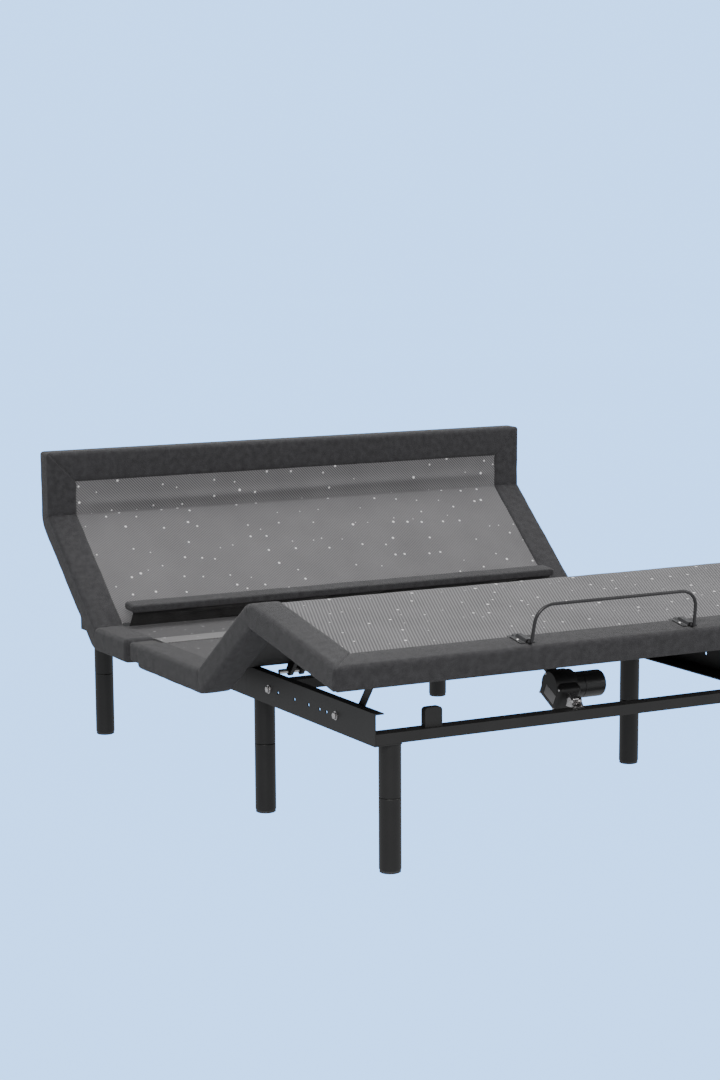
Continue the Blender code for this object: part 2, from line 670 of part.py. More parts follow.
def make_back_lever():
    """The tube that the back turns on, with its two lift arms and the drive's slotted lever."""
    tube = solid("back_lift_lever", back, BLACK_STEEL,
                 cross_bar(-TORQUE_TUBE_END, TORQUE_TUBE_END, 0.0, 0.0, TORQUE_TUBE_RADIUS))
    top = -LIFT_ARM_DROP
    for _, sign in SIDES:
        x = sign * LIFT_ARM_X
        half = LIFT_ARM_WIDTH / 2
        add(tube, block((x - half, 0.0, top - LIFT_ARM_HEIGHT), (x + half, LIFT_ARM_REACH, top)))
        pad = half * NARROW_FIT
        add(tube, block((x - pad, LIFT_PAD_START, top - LIFT_ARM_HEIGHT / 2),
                        (x + pad, LIFT_ARM_REACH - FOLD_PLAY, BOARD_LOW - GAP)))
    angle = HEAD_LEVER_ANGLE - BACK_ANGLE
    low = polar(HEAD_SLOT[0], angle)
    high = polar(HEAD_SLOT[1], angle)
    offset = EYE_WIDTH / 2 + SIDE_PLAY + LEVER_PLATE / 2
    for _, sign in SIDES:
        x = HEAD_DRIVE_X + sign * offset
        add(tube, side_plate(strap((0.0, 0.0), high, TORQUE_TUBE_RADIUS + LEVER_PLATE,
                                   HEAD_SLOT_RADIUS + EYE_RIM), x, LEVER_PLATE))
        cut(tube, side_plate(strap(low, high, HEAD_SLOT_RADIUS, HEAD_SLOT_RADIUS - 1e-5), x,
                             2 * LEVER_PLATE))


def make_housing(name, body, x, start, tube_end, size=GEARBOX, top=GEARBOX_TOP, tab=True):
    """A drive's gearbox and outer tube, along +Y of its own frame, bored for the push rod."""
    half = size[0] / 2
    housing = solid(name, body, BLACK_PLASTIC,
                    block((x - half, start, top - size[2]), (x + half, start + size[1], top)))
    add(housing, bar((x, start + size[1] / 2, 0.0), (x, tube_end, 0.0), TUBE_RADIUS))
    if tab:
        add(housing, side_plate(strap((0.0, 0.0), (start + TAB_OVERLAP, 0.0),
                                      EYE_RADIUS - FOLD_PLAY, EYE_RADIUS - 2 * FOLD_PLAY),
                                x, EYE_WIDTH))
        cut(housing, cross_bar(x - EYE_WIDTH, x + EYE_WIDTH, 0.0, 0.0, PIN_RADIUS + RUNNING, 12))
    cut(housing, bar((x, start + size[1] * TUBE_OVERLAP, 0.0), (x, tube_end + TUBE_RADIUS, 0.0),
                     PUSH_ROD_RADIUS + RUNNING))
    return housing


def make_push_rod(name, body, x, inner_end, length, pin):
    """A drive's push rod with an eye at its far end, and a pin through the eye."""
    rod = solid(name, body, BRIGHT_STEEL, bar((x, inner_end, 0.0), (x, length, 0.0),
                                              PUSH_ROD_RADIUS))
    add(rod, cross_bar(x - EYE_WIDTH / 2, x + EYE_WIDTH / 2, length, 0.0, EYE_RADIUS))
    if pin:
        reach = EYE_WIDTH / 2 + SIDE_PLAY + LEVER_PLATE * (0.5 + PIN_OVERHANG)
        add(rod, cross_bar(x - reach, x + reach, length, 0.0, PIN_RADIUS, 12))


def make_foot_drive():
    """The drive that lifts the thigh section, pivoted on a bright clevis on the foot crossbar."""
    clevis_half = EYE_WIDTH / 2 + SIDE_PLAY
    x = FOOT_DRIVE_X
    y = FOOT_DRIVE_Y
    base = BAR_TOP + GAP
    clevis = solid("foot_clevis", root, BRIGHT_STEEL,
                   block((x - clevis_half - LEVER_PLATE, y - CLEVIS_REACH[0], base),
                         (x + clevis_half + LEVER_PLATE, y + CLEVIS_REACH[1], base + CLEVIS_BASE)))
    ear = [(y - CLEVIS_REACH[0], base), (y + CLEVIS_REACH[1], base)]
    ear += arc((y, FOOT_DRIVE_Z), EYE_RADIUS - FOLD_PLAY, -radians(11), radians(191), 6)
    for _, sign in SIDES:
        offset = clevis_half + LEVER_PLATE / 2
        add(clevis, side_plate(ear, x + sign * offset, LEVER_PLATE * NARROW_FIT))
    reach = clevis_half + LEVER_PLATE * PIN_OVERHANG
    add(clevis, cross_bar(x - reach, x + reach, y, FOOT_DRIVE_Z, PIN_RADIUS, 12))
    lift = thigh_point(FOOT_BRACKET) - Vector((y, FOOT_DRIVE_Z))
    drive = frame("foot_actuator_frame", root, (0.0, y, FOOT_DRIVE_Z),
                  atan2(lift.y, lift.x) * 180 / pi)
    make_housing("foot_actuator_gearbox", drive, x, GEARBOX_START, FOOT_TUBE_END)
    motor_y = GEARBOX_START + GEARBOX[1] / 2
    motor_x = x + GEARBOX[0] / 2 + GAP
    motor = solid("foot_actuator_motor", drive, BLACK_PLASTIC,
                  cross_bar(motor_x, motor_x + MOTOR_LENGTH, motor_y, -MOTOR_DROP, MOTOR_RADIUS, 24))
    round_edges(motor, MOTOR_ROUND)
    rod_frame = frame("foot_rod_frame", drive, (0.0, 0.0, 0.0))
    make_push_rod("foot_actuator_rod", rod_frame, x, FOOT_TUBE_END - FOOT_ROD_OVERLAP, lift.length,
                  False)


def thigh_point(point):
    """A point of the thigh section's frame, as posed, in the YZ plane."""
    turn = radians(-THIGH_ANGLE)
    return Vector((THIGH_HINGE_Y + point[0] * cos(turn) - point[1] * sin(turn),
                   HINGE_Z + point[0] * sin(turn) + point[1] * cos(turn)))


def make_head_drive():
    """The drive that lifts the back, between the middle crossbar and the slotted lever."""
    pin = polar(HEAD_LEVER, HEAD_LEVER_ANGLE)
    reach_y = BACK_HINGE_Y + pin[0] - HEAD_DRIVE_Y
    reach_z = HINGE_Z + pin[1] - HEAD_DRIVE_Z
    drive = frame("head_actuator_frame", root, (0.0, HEAD_DRIVE_Y, HEAD_DRIVE_Z),
                  atan2(reach_z, reach_y) * 180 / pi)
    housing = make_housing("head_actuator_housing", drive, HEAD_DRIVE_X, GEARBOX_START,
                           HEAD_TUBE_END)
    motor_y = GEARBOX_START + GEARBOX[1] / 2
    add(housing, cross_bar(HEAD_DRIVE_X, HEAD_DRIVE_X + GEARBOX[0] / 2 + MOTOR_LENGTH, motor_y,
                           -MOTOR_DROP, MOTOR_RADIUS, 20))
    rod_frame = frame("head_rod_frame", drive, (0.0, 0.0, 0.0))
    make_push_rod("head_actuator_rod", rod_frame, HEAD_DRIVE_X, HEAD_TUBE_END - HEAD_ROD_OVERLAP,
                  hypot(reach_y, reach_z), True)


def make_pillow_drive():
    """The drive under the back that turns the pillow section by a slotted lever."""
    pin = polar(PILLOW_LEVER, PILLOW_LEVER_ANGLE)
    drive = frame("pillow_actuator_frame", back, (0.0, 0.0, pin[1]))
    reach = BACK_LENGTH + pin[0]
    housing = make_housing("pillow_actuator", drive, 0.0, PILLOW_DRIVE_START,
                           PILLOW_DRIVE_START + PILLOW_TUBE_LENGTH, PILLOW_GEARBOX,
                           TUBE_RADIUS + EYE_RIM, False)
    width, low_y, high_y = PILLOW_FOOT
    add(housing, block((-width / 2, PILLOW_DRIVE_START + low_y, 0.0),
                       (width / 2, PILLOW_DRIVE_START + high_y, BOARD_LOW - GAP - pin[1])))
    rod_frame = frame("pillow_rod_frame", drive, (0.0, 0.0, 0.0))
    make_push_rod("pillow_actuator_rod", rod_frame, 0.0, PILLOW_DRIVE_START + PILLOW_ROD_START,
                  reach, True)


def make_calf_links():
    """The links that steer the calf section, one inside each rail."""
    pivot = Vector((LINK_PIVOT_Y, HINGE_Z))
    pin_y = LINK_PIVOT_Y - THIGH_HINGE_Y - LINK_LENGTH
    slope = radians(CALF_ANGLE - THIGH_ANGLE)
    knee = thigh_point((-THIGH_LENGTH, 0.0))
    reach = pin_y + THIGH_LENGTH
    end = knee + Vector((reach * cos(slope), reach * sin(slope)))
    links = frame("calf_link_frame", root, (0.0, LINK_PIVOT_Y, HINGE_Z),
                  atan2(end.y - pivot.y, end.x - pivot.x) * 180 / pi)
    profile = strap((0.0, 0.0), (LINK_LENGTH, 0.0), LINK_RADIUS, LINK_RADIUS - 1e-5)
    for side, sign in SIDES:
        x = sign * LINK_X
        link = solid(f"calf_link_{side}", links, BLACK_STEEL,
                     side_plate(profile, x, LEVER_PLATE))
        cut(link, cross_bar(x - LEVER_PLATE, x + LEVER_PLATE, 0.0, 0.0, PIN_RADIUS + RUNNING, 12))
        pin = sorted((x, sign * (LINK_X + (1 + PIN_OVERHANG) * LEVER_PLATE)))
        add(link, cross_bar(*pin, LINK_LENGTH, 0.0, PIN_RADIUS, 12))


# ---------------------------------------------------------------- lumbar support

def make_lumbar():
    """A padded bar that three rods push out of the back, with a curtain down to the fold."""
    lean = radians(180 - LUMBAR_LEAN)
    front = Vector(LUMBAR_FRONT)
    rear = front - Vector((cos(lean), sin(lean))) * LUMBAR_DEPTH
    lumbar = frame("lumbar_frame", back, (0.0, 0.0, 0.0))
    tilt = frame("lumbar_board_frame", lumbar, (0.0, rear.x, rear.y), -LUMBAR_LEAN)
    half = LUMBAR_THICKNESS / 2
    flap = solid("lumbar_board", tilt, UPHOLSTERY,
                 block((-LUMBAR_HALF_WIDTH, -LUMBAR_DEPTH, -half), (LUMBAR_HALF_WIDTH, 0.0, half)))
    round_edges(flap, LUMBAR_ROUND)
    underside = (rear.y - half / cos(radians(LUMBAR_LEAN))
                 + (rear.x - LUMBAR_ROD_Y) * tan(radians(LUMBAR_LEAN)))
    strip_half, strip_depth, strip_thick = LUMBAR_STRIP
    strip_top = underside - strip_depth * tan(radians(LUMBAR_LEAN)) - GAP
    strip = solid("lumbar_rod", lumbar, BRIGHT_STEEL,
                  block((-strip_half, LUMBAR_ROD_Y - strip_depth, strip_top - strip_thick),
                        (strip_half, LUMBAR_ROD_Y + strip_depth, strip_top)))
    guide_depth, guide_thick = LUMBAR_GUIDE
    guide_low = LUMBAR_GUIDE_TOP - guide_thick
    guide_half = LIFT_ARM_X - LIFT_ARM_WIDTH / 2 - GAP
    guide = solid("lumbar_actuator", back, BLACK_PLASTIC,
                  block((-guide_half, LUMBAR_ROD_Y - guide_depth, guide_low),
                        (guide_half, LUMBAR_ROD_Y + guide_depth, LUMBAR_GUIDE_TOP)))
    drive_half, drive_back, drive_front, drive_deep = LUMBAR_DRIVE
    add(guide, block((-drive_half, LUMBAR_ROD_Y - drive_back, guide_low - drive_deep),
                     (drive_half, LUMBAR_ROD_Y + drive_front, guide_low + LUMBAR_BLEND)))
    for x in LUMBAR_RODS_X:
        add(strip, bar((x, LUMBAR_ROD_Y, guide_low - guide_thick),
                       (x, LUMBAR_ROD_Y, strip_top - LUMBAR_BLEND), LUMBAR_ROD_RADIUS, 12))
        cut(guide, bar((x, LUMBAR_ROD_Y, guide_low - LUMBAR_BORE),
                       (x, LUMBAR_ROD_Y, LUMBAR_GUIDE_TOP + guide_thick),
                       LUMBAR_ROD_RADIUS + RUNNING, 12))
    thin = CURTAIN_THICKNESS / 2
    low = CURTAIN_FOOT
    top_y = LUMBAR_FRONT[0]
    top = (top_y, underside + (LUMBAR_ROD_Y - top_y - thin) * tan(radians(LUMBAR_LEAN)) - thin)
    sheet = [(low[0] - thin, low[1]), (low[0] + thin, low[1]), (top[0] + thin, top[1] - thin),
             (top[0] - thin, top[1])]
    reach = LUMBAR_HALF_WIDTH - LUMBAR_ROUND
    solid("lumbar_curtain", back, CURTAIN, side_plate(sheet, 0.0, 2 * reach))


# ---------------------------------------------------------------- trim

def make_retainer():
    """The wire loop that stops the mattress sliding, and the kinked plates that hold its feet."""
    level = BORDER_HIGH + PLATE_SIZE[2] + RETAINER_RADIUS + 2 * GAP
    base_y = -RETAINER_Y
    top = level + RETAINER_RISE
    bend = RETAINER_BEND
    half = RETAINER_HALF_WIDTH
    side = [(half, base_y + RETAINER_START + RETAINER_FOOT, level),
            (half, base_y + RETAINER_TURN, level),
            (half, base_y + RETAINER_TURN / 3, level + RETAINER_TURN / 3),
            (half, base_y, level + RETAINER_TURN)]
    side += [(half - bend + bend * cos(turn), base_y, top - bend + bend * sin(turn))
             for turn in (step * pi / 2 / 6 for step in range(7))]
    points = side + [(-x, y, z) for x, y, z in reversed(side)]
    curve = bpy.data.curves.new("retainer", "CURVE")
    curve.dimensions = "3D"
    curve.bevel_depth = RETAINER_RADIUS
    curve.bevel_resolution = 2
    curve.use_fill_caps = True
    spline = curve.splines.new("POLY")
    spline.points.add(len(points) - 1)
    for point, (x, y, z) in zip(spline.points, points):
        point.co = (RETAINER_X + x, y, z, 1.0)
    solid("retainer_bar", calf, WIRE, (curve_to_mesh(curve), (0.0, 0.0, 0.0), (0.0, 0.0, 0.0)))
    width, length, thick = PLATE_SIZE
    channel = RETAINER_RADIUS + GAP
    for name, sign in SIDES:
        x = RETAINER_X + sign * half
        low_y = base_y + RETAINER_START
        plate = solid(f"retainer_plate_{name}", calf, BLACK_STEEL,
                      block((x - width / 2, low_y, BORDER_HIGH + GAP),
                            (x + width / 2, low_y + length, BORDER_HIGH + thick)))
        hump = thick + channel
        hump_end = low_y + RETAINER_FOOT + 2 * thick
        add(plate, block((x - hump, low_y, BORDER_HIGH + 2 * GAP),
                         (x + hump, hump_end, level + channel + thick / 2)))
        cut(plate, block((x - channel, low_y - thick, level - channel),
                         (x + channel, hump_end - thick, level + channel)))


def make_control_box():
    """The control box under the seat board."""
    x, y = CONTROL_CENTRE
    half_x = CONTROL_SIZE[0] / 2
    half_y = CONTROL_SIZE[1] / 2
    top = HINGE_Z + BOARD_LOW - GAP
    box = solid("control_box", root, BLACK_PLASTIC,
                block((x - half_x, y - half_y, top - CONTROL_SIZE[2]), (x + half_x, y + half_y, top)))
    round_edges(box, CONTROL_ROUND)


make_legs()
make_rails()
make_crossbars()
make_seat()
make_thigh()
make_calf()
make_back()
make_pillow()
make_back_lever()
make_foot_drive()
make_head_drive()
make_pillow_drive()
make_calf_links()
make_lumbar()
make_retainer()
make_control_box()
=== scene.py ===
"""Looks of an adjustable bed base: woven borders, a sprung mesh deck, a lift-out lumbar bar with its
pleated skirt, satin steel rails, turned legs and a linear drive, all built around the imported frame."""

import json
import logging
import math
from dataclasses import dataclass
from enum import Enum

import bmesh
import bpy
import numpy as np
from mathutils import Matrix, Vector


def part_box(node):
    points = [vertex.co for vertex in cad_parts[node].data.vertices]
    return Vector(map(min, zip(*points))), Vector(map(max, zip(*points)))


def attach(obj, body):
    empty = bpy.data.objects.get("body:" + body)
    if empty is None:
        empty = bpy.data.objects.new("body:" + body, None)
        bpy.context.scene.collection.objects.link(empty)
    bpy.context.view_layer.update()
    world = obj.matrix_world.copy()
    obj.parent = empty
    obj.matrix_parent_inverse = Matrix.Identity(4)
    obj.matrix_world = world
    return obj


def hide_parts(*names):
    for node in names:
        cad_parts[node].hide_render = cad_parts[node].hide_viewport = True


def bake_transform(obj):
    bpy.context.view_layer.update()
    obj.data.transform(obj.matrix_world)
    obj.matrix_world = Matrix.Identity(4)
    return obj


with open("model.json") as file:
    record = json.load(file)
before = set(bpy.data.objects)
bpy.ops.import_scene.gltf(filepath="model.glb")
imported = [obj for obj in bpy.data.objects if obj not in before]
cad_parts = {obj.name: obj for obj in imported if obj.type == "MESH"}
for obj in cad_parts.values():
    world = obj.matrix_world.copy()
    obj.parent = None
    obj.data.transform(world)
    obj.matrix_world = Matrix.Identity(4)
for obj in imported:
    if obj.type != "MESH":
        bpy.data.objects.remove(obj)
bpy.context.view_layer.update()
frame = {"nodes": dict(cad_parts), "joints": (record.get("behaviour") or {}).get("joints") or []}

logging.basicConfig(level=logging.INFO, format="%(message)s")
LOG = logging.getLogger("bed_base")

MM = 0.001
TURN = 2.0 * math.pi
SMALLEST_WELD = 0.02 * MM
FOLD_EASE = 12.0 * MM


class Side(Enum):
    """Left and right of the bed, as the sign of x."""

    LEFT = -1
    RIGHT = 1


class Mapping(Enum):
    """Which coordinates a finish reads."""

    OBJECT = "Object"
    UNWRAPPED = "UV"


# ---------------------------------------------------------------- shader arithmetic


class Term:
    """A value in a material that can be added, multiplied and compared like a number."""

    def __init__(self, shader: "Shader", socket: bpy.types.NodeSocket) -> None:
        """Wraps a socket.

        Args:
            shader: the material that the socket belongs to.
            socket: the output that carries the value.
        """
        self.shader = shader
        self.socket = socket

    def _maths(self, operation: str, *values: "Term | float") -> "Term":
        """Adds one arithmetic node.

        Args:
            operation: the arithmetic to do.
            values: what it works on, in order.

        Returns:
            The result.
        """
        inputs = dict(enumerate(values))
        return self.shader.node("ShaderNodeMath", {"operation": operation}, inputs)

    def __add__(self, other: "Term | float") -> "Term":
        """Returns the sum."""
        return self._maths("ADD", self, other)

    def __radd__(self, other: float) -> "Term":
        """Returns the sum."""
        return self._maths("ADD", other, self)

    def __sub__(self, other: "Term | float") -> "Term":
        """Returns the difference."""
        return self._maths("SUBTRACT", self, other)

    def __rsub__(self, other: float) -> "Term":
        """Returns the difference the other way round."""
        return self._maths("SUBTRACT", other, self)

    def __mul__(self, other: "Term | float") -> "Term":
        """Returns the product."""
        return self._maths("MULTIPLY", self, other)

    def __rmul__(self, other: float) -> "Term":
        """Returns the product."""
        return self._maths("MULTIPLY", other, self)

    def __truediv__(self, other: "Term | float") -> "Term":
        """Returns the quotient."""
        return self._maths("DIVIDE", self, other)

    def __rtruediv__(self, other: float) -> "Term":
        """Returns the quotient the other way round."""
        return self._maths("DIVIDE", other, self)

    def __pow__(self, other: "Term | float") -> "Term":
        """Returns the power."""
        return self._maths("POWER", self, other)

    def __neg__(self) -> "Term":
        """Returns the value with its sign changed."""
        return self._maths("MULTIPLY", self, -1.0)

    def __abs__(self) -> "Term":
        """Returns the size of the value."""
        return self._maths("ABSOLUTE", self)

    def __gt__(self, other: "Term | float") -> "Term":
        """Returns 1 where this value is the larger, else 0."""
        return self._maths("GREATER_THAN", self, other)

    def __lt__(self, other: "Term | float") -> "Term":
        """Returns 1 where this value is the smaller, else 0."""
        return self._maths("LESS_THAN", self, other)

    def sine(self) -> "Term":
        """Returns the sine of an angle in radians."""
        return self._maths("SINE", self)

    def at_least(self, other: "Term | float") -> "Term":
        """Returns the larger of the two."""
        return self._maths("MAXIMUM", self, other)

    def at_most(self, other: "Term | float") -> "Term":
        """Returns the smaller of the two."""
        return self._maths("MINIMUM", self, other)

    def between(self, low: float, high: float) -> "Term":
        """Returns the share of the way from low to high, held to 0 and 1.

        Args:
            low: the value that gives 0.
            high: the value that gives 1.
        """
        return ((self - low) / (high - low)).at_least(0.0).at_most(1.0)


class Shader:
    """A material under construction."""

    def __init__(self, name: str) -> None:
        """Starts an empty material.

        Args:
            name: the material's name.
        """
        self.material = bpy.data.materials.new(name)
        self.material.use_nodes = True
        self.tree = self.material.node_tree
        self.tree.nodes.clear()

    def node(
        self, kind: str, settings: dict | None = None, inputs: dict | None = None, output: str | int = 0,
    ) -> Term:
        """Adds one node.

        Args:
            kind: the node's type.
            settings: its options by name.
            inputs: its inputs by name or number, each a Term or a constant.
            output: which output to return.

        Returns:
            The chosen output.
        """
        made = self.tree.nodes.new(kind)
        for key, value in (settings or {}).items():
            setattr(made, key, value)
        for key, value in (inputs or {}).items():
            if isinstance(value, Term):
                self.tree.links.new(value.socket, made.inputs[key])
            else:
                made.inputs[key].default_value = value
        return Term(self, made.outputs[output])

    def place(self, mapping: Mapping) -> Term:
        """Returns the coordinates that the finish reads, in metres.

        Args:
            mapping: whose coordinates.
        """
        return self.node("ShaderNodeTexCoord", output=mapping.value)

    def parts(self, vector: Term) -> tuple[Term, Term, Term]:
        """Returns the three components of a vector.

        Args:
            vector: the vector.
        """
        first = self.node("ShaderNodeSeparateXYZ", inputs={"Vector": vector}, output="X")
        node = first.socket.node
        return first, Term(self, node.outputs["Y"]), Term(self, node.outputs["Z"])

    def grain(self, place: Term, size: float, detail: float = 2.0) -> Term:
        """Returns smooth random values from 0 to 1.

        Args:
            place: where.
            size: the size of one patch, in metres.
            detail: how many finer layers go on top.
        """
        inputs = {"Vector": place, "Scale": 1.0 / size, "Detail": detail}
        return self.node("ShaderNodeTexNoise", inputs=inputs)

    def blend(self, share: Term, first: tuple | Term, second: tuple | Term) -> Term:
        """Returns a colour between two.

        Args:
            share: 0 for the first colour, 1 for the second.
            first: the first colour.
            second: the second colour.
        """
        settings = {"data_type": "RGBA"}
        return self.node("ShaderNodeMix", settings, {0: share, 6: first, 7: second}, 2)

    def bump(self, height: Term, depth: float) -> Term:
        """Returns the normal of a surface with fine relief.

        Args:
            height: relief from 0 to 1.
            depth: how deep it is, in metres.
        """
        return self.node(
            "ShaderNodeBump", inputs={"Height": height, "Strength": 1.0, "Distance": depth}, output="Normal"
        )

    def finish(self, inputs: dict) -> bpy.types.Material:
        """Closes the material.

        Args:
            inputs: what goes into the surface, by name.

        Returns:
            The material.
        """
        surface = self.node("ShaderNodeBsdfPrincipled", inputs=inputs)
        self.node_out = self.tree.nodes.new("ShaderNodeOutputMaterial")
        self.tree.links.new(surface.socket, self.node_out.inputs["Surface"])
        return self.material


Colour = tuple[float, float, float, float]


@dataclass(frozen=True)
class HeatherCloth:
    """A plain-woven charcoal upholstery cloth with light flecks."""

    name: str
    dark: Colour
    light: Colour
    pitch: float = 1.3 * MM
    fleck: float = 1.9 * MM

    def material(self) -> bpy.types.Material:
        """Returns the material."""
        shader = Shader(self.name)
        place = shader.place(Mapping.UNWRAPPED)
        across, along, _ = shader.parts(place)
        warp = (across * (TURN / self.pitch)).sine()
        weft = (along * (TURN / self.pitch)).sine()
        weave = warp * weft * 0.5 + 0.5
        fleck = shader.grain(place, self.fleck, 3.0)
        slub = shader.grain(place, 9.0 * self.fleck, 1.0)
        share = (fleck + slub * 0.35 - 0.12).between(0.38, 0.86) * 0.75 + weave * 0.22
        colour = shader.blend(share.at_most(1.0), self.dark, self.light)
        relief = weave * 0.6 + fleck * 0.4
        return shader.finish({
            "Base Color": colour,
            "Roughness": fleck * 0.12 + 0.82,
            "Specular IOR Level": 0.28,
            "Sheen Weight": 0.12,
            "Sheen Roughness": 0.5,
            "Normal": shader.bump(relief, 0.35 * MM),
        })


@dataclass(frozen=True)
class TwillNet:
    """A knitted spacer net with diagonal ribs and a few light dots."""

    name: str
    dark: Colour
    light: Colour
    dot: Colour
    pitch: float = 8.0 * MM
    slant: float = 1.0
    dot_spacing: float = 58.0 * MM
    cross_rib: float = 0.0
    mapping: Mapping = Mapping.UNWRAPPED

    def material(self) -> bpy.types.Material:
        """Returns the material."""
        shader = Shader(self.name)
        place = shader.place(self.mapping)
        across, along, _ = shader.parts(place)
        wander = shader.grain(place, 30.0 * MM, 1.0)
        phase = (across + along * self.slant) * (TURN / self.pitch) + wander * 0.9
        rib = phase.sine() * 0.5 + 0.5
        counter = ((along - across * self.slant) * (TURN / (0.42 * self.pitch))).sine() * 0.5 + 0.5
        net = rib.between(0.15, 0.85) * (0.78 - self.cross_rib) + counter * (0.22 + self.cross_rib)
        tone = shader.grain(place, 120.0 * MM, 2.0)
        share = (net * 0.9 + tone * 0.3 - 0.1).between(0.0, 1.0)
        ground = shader.blend(share, self.dark, self.light)
        cell = shader.node(
            "ShaderNodeTexVoronoi", {"voronoi_dimensions": "2D"},
            {"Vector": place, "Scale": 1.0 / self.dot_spacing, "Randomness": 1.0}, "Distance",
        )
        tint = Term(shader, cell.socket.node.outputs["Color"])
        chance, size, _ = shader.parts(tint)
        radius = size * 0.045 + 0.030
        spot = (radius - cell).between(0.0, 0.02) * (chance > 0.25)
        colour = shader.blend(spot, ground, self.dot)
        return shader.finish({
            "Base Color": colour,
            "Roughness": net * 0.1 + 0.7,
            "Specular IOR Level": 0.3,
            "Sheen Weight": 0.08,
            "Normal": shader.bump(net + spot * 0.4, 0.55 * MM),
        })


@dataclass(frozen=True)
class SatinCloth:
    """A slippery black lining cloth."""

    name: str
    dark: Colour
    light: Colour

    def material(self) -> bpy.types.Material:
        """Returns the material."""
        shader = Shader(self.name)
        place = shader.place(Mapping.UNWRAPPED)
        across, along, _ = shader.parts(place)
        thread = ((across + along) * (TURN / (0.8 * MM))).sine() * 0.5 + 0.5
        tone = shader.grain(place, 40.0 * MM)
        colour = shader.blend(tone.between(0.35, 0.75), self.dark, self.light)
        return shader.finish({
            "Base Color": colour,
            "Roughness": tone * 0.16 + 0.28,
            "Specular IOR Level": 0.5,
            "Sheen Weight": 0.15,
            "Normal": shader.bump(thread * 0.4 + tone * 0.6, 0.2 * MM),
        })


@dataclass(frozen=True)
class Coat:
    """A painted, plated or moulded surface with a fine grain."""

    name: str
    dark: Colour
    light: Colour
    roughness: float
    metallic: float = 0.0
    grain: float = 1.6 * MM
    depth: float = 0.06 * MM
    brushed: float = 1.0
    coat: float = 0.0

    def material(self) -> bpy.types.Material:
        """Returns the material."""
        shader = Shader(self.name)
        place = shader.place(Mapping.OBJECT)
        stretch = {"Vector": place, "Scale": (1.0, self.brushed, 1.0)}
        brushed = shader.node("ShaderNodeMapping", inputs=stretch)
        fine = shader.grain(brushed, self.grain, 4.0)
        broad = shader.grain(place, 60.0 * MM, 2.0)
        colour = shader.blend((fine * 0.6 + broad * 0.5).between(0.3, 0.85), self.dark, self.light)
        return shader.finish({
            "Base Color": colour,
            "Metallic": self.metallic,
            "Roughness": fine * 0.12 + broad * 0.08 + (self.roughness - 0.1),
            "Specular IOR Level": 0.5,
            "Coat Weight": self.coat,
            "Coat Roughness": 0.25,
            "Normal": shader.bump(fine, self.depth),
        })


def grey(value: float, blue: float = 1.0) -> Colour:
    """Returns a neutral colour.

    Args:
        value: its brightness, linear.
        blue: how much more blue than red it is.
    """
    return (value, value * 0.985, value * blue, 1.0)


class Finishes:
    """Every finish on the bed base."""

    def __init__(self) -> None:
        """Makes the materials."""
        self.heather = HeatherCloth("heather_cloth", grey(0.013, 1.06), grey(0.080, 1.06)).material()
        self.net = TwillNet("sprung_net", grey(0.060, 1.03), grey(0.235, 1.02), grey(0.80)).material()
        self.calf_net = TwillNet(
            "sprung_net_foot", grey(0.060, 1.03), grey(0.235, 1.02), grey(0.80), slant=0.35
        ).material()
        self.seat_net = TwillNet(
            "sprung_net_seat", grey(0.055, 1.03), grey(0.12, 1.02), grey(0.4), pitch=3.0 * MM, cross_rib=0.2
        ).material()
        self.strip_net = TwillNet(
            "seat_strip_net", grey(0.05), grey(0.33), grey(0.5), pitch=9.0 * MM, cross_rib=0.1
        ).material()
        # painted shade: the board undersides get the knitted net at about a third of its brightness, which
        # stands in for the shade under the deck
        self.under_net_painted_shade = TwillNet(
            "underside_net", grey(0.03), grey(0.075), grey(0.16),
            mapping=Mapping.OBJECT, dot_spacing=90.0 * MM
        ).material()
        self.satin = SatinCloth("pleated_lining", grey(0.007), grey(0.026)).material()
        self.rail = Coat("rail_powder_coat", grey(0.012), grey(0.022), 0.5).material()
        self.leg = Coat("leg_lacquer", grey(0.008), grey(0.015), 0.42).material()
        self.plastic = Coat(
            "drive_plastic", grey(0.009), grey(0.019), 0.46, grain=0.9 * MM, depth=0.1 * MM
        ).material()
        self.motor = Coat("motor_plastic", grey(0.016), grey(0.03), 0.34, coat=0.2).material()
        self.bright = Coat(
            "bright_steel", grey(0.52), grey(0.74, 0.99), 0.27, 1.0,
            grain=0.7 * MM, depth=0.03 * MM, brushed=8.0
        ).material()
        self.wire = Coat("dark_wire", grey(0.030, 1.04), grey(0.055, 1.04), 0.33, 0.5, coat=0.2).material()
        self.label = Coat(
            "drive_label", grey(0.20), grey(0.27), 0.5, grain=3.0 * MM, depth=0.01 * MM
        ).material()
        self.glide = Coat("glide_plastic", grey(0.03), grey(0.045), 0.55).material()


# ---------------------------------------------------------------- surfaces


@dataclass
class Grid:
    """One patch of a surface, as rows of points."""

    points: np.ndarray
    unwrapped: np.ndarray
    wraps: bool = False
    first_cap: bool = False
    last_cap: bool = False


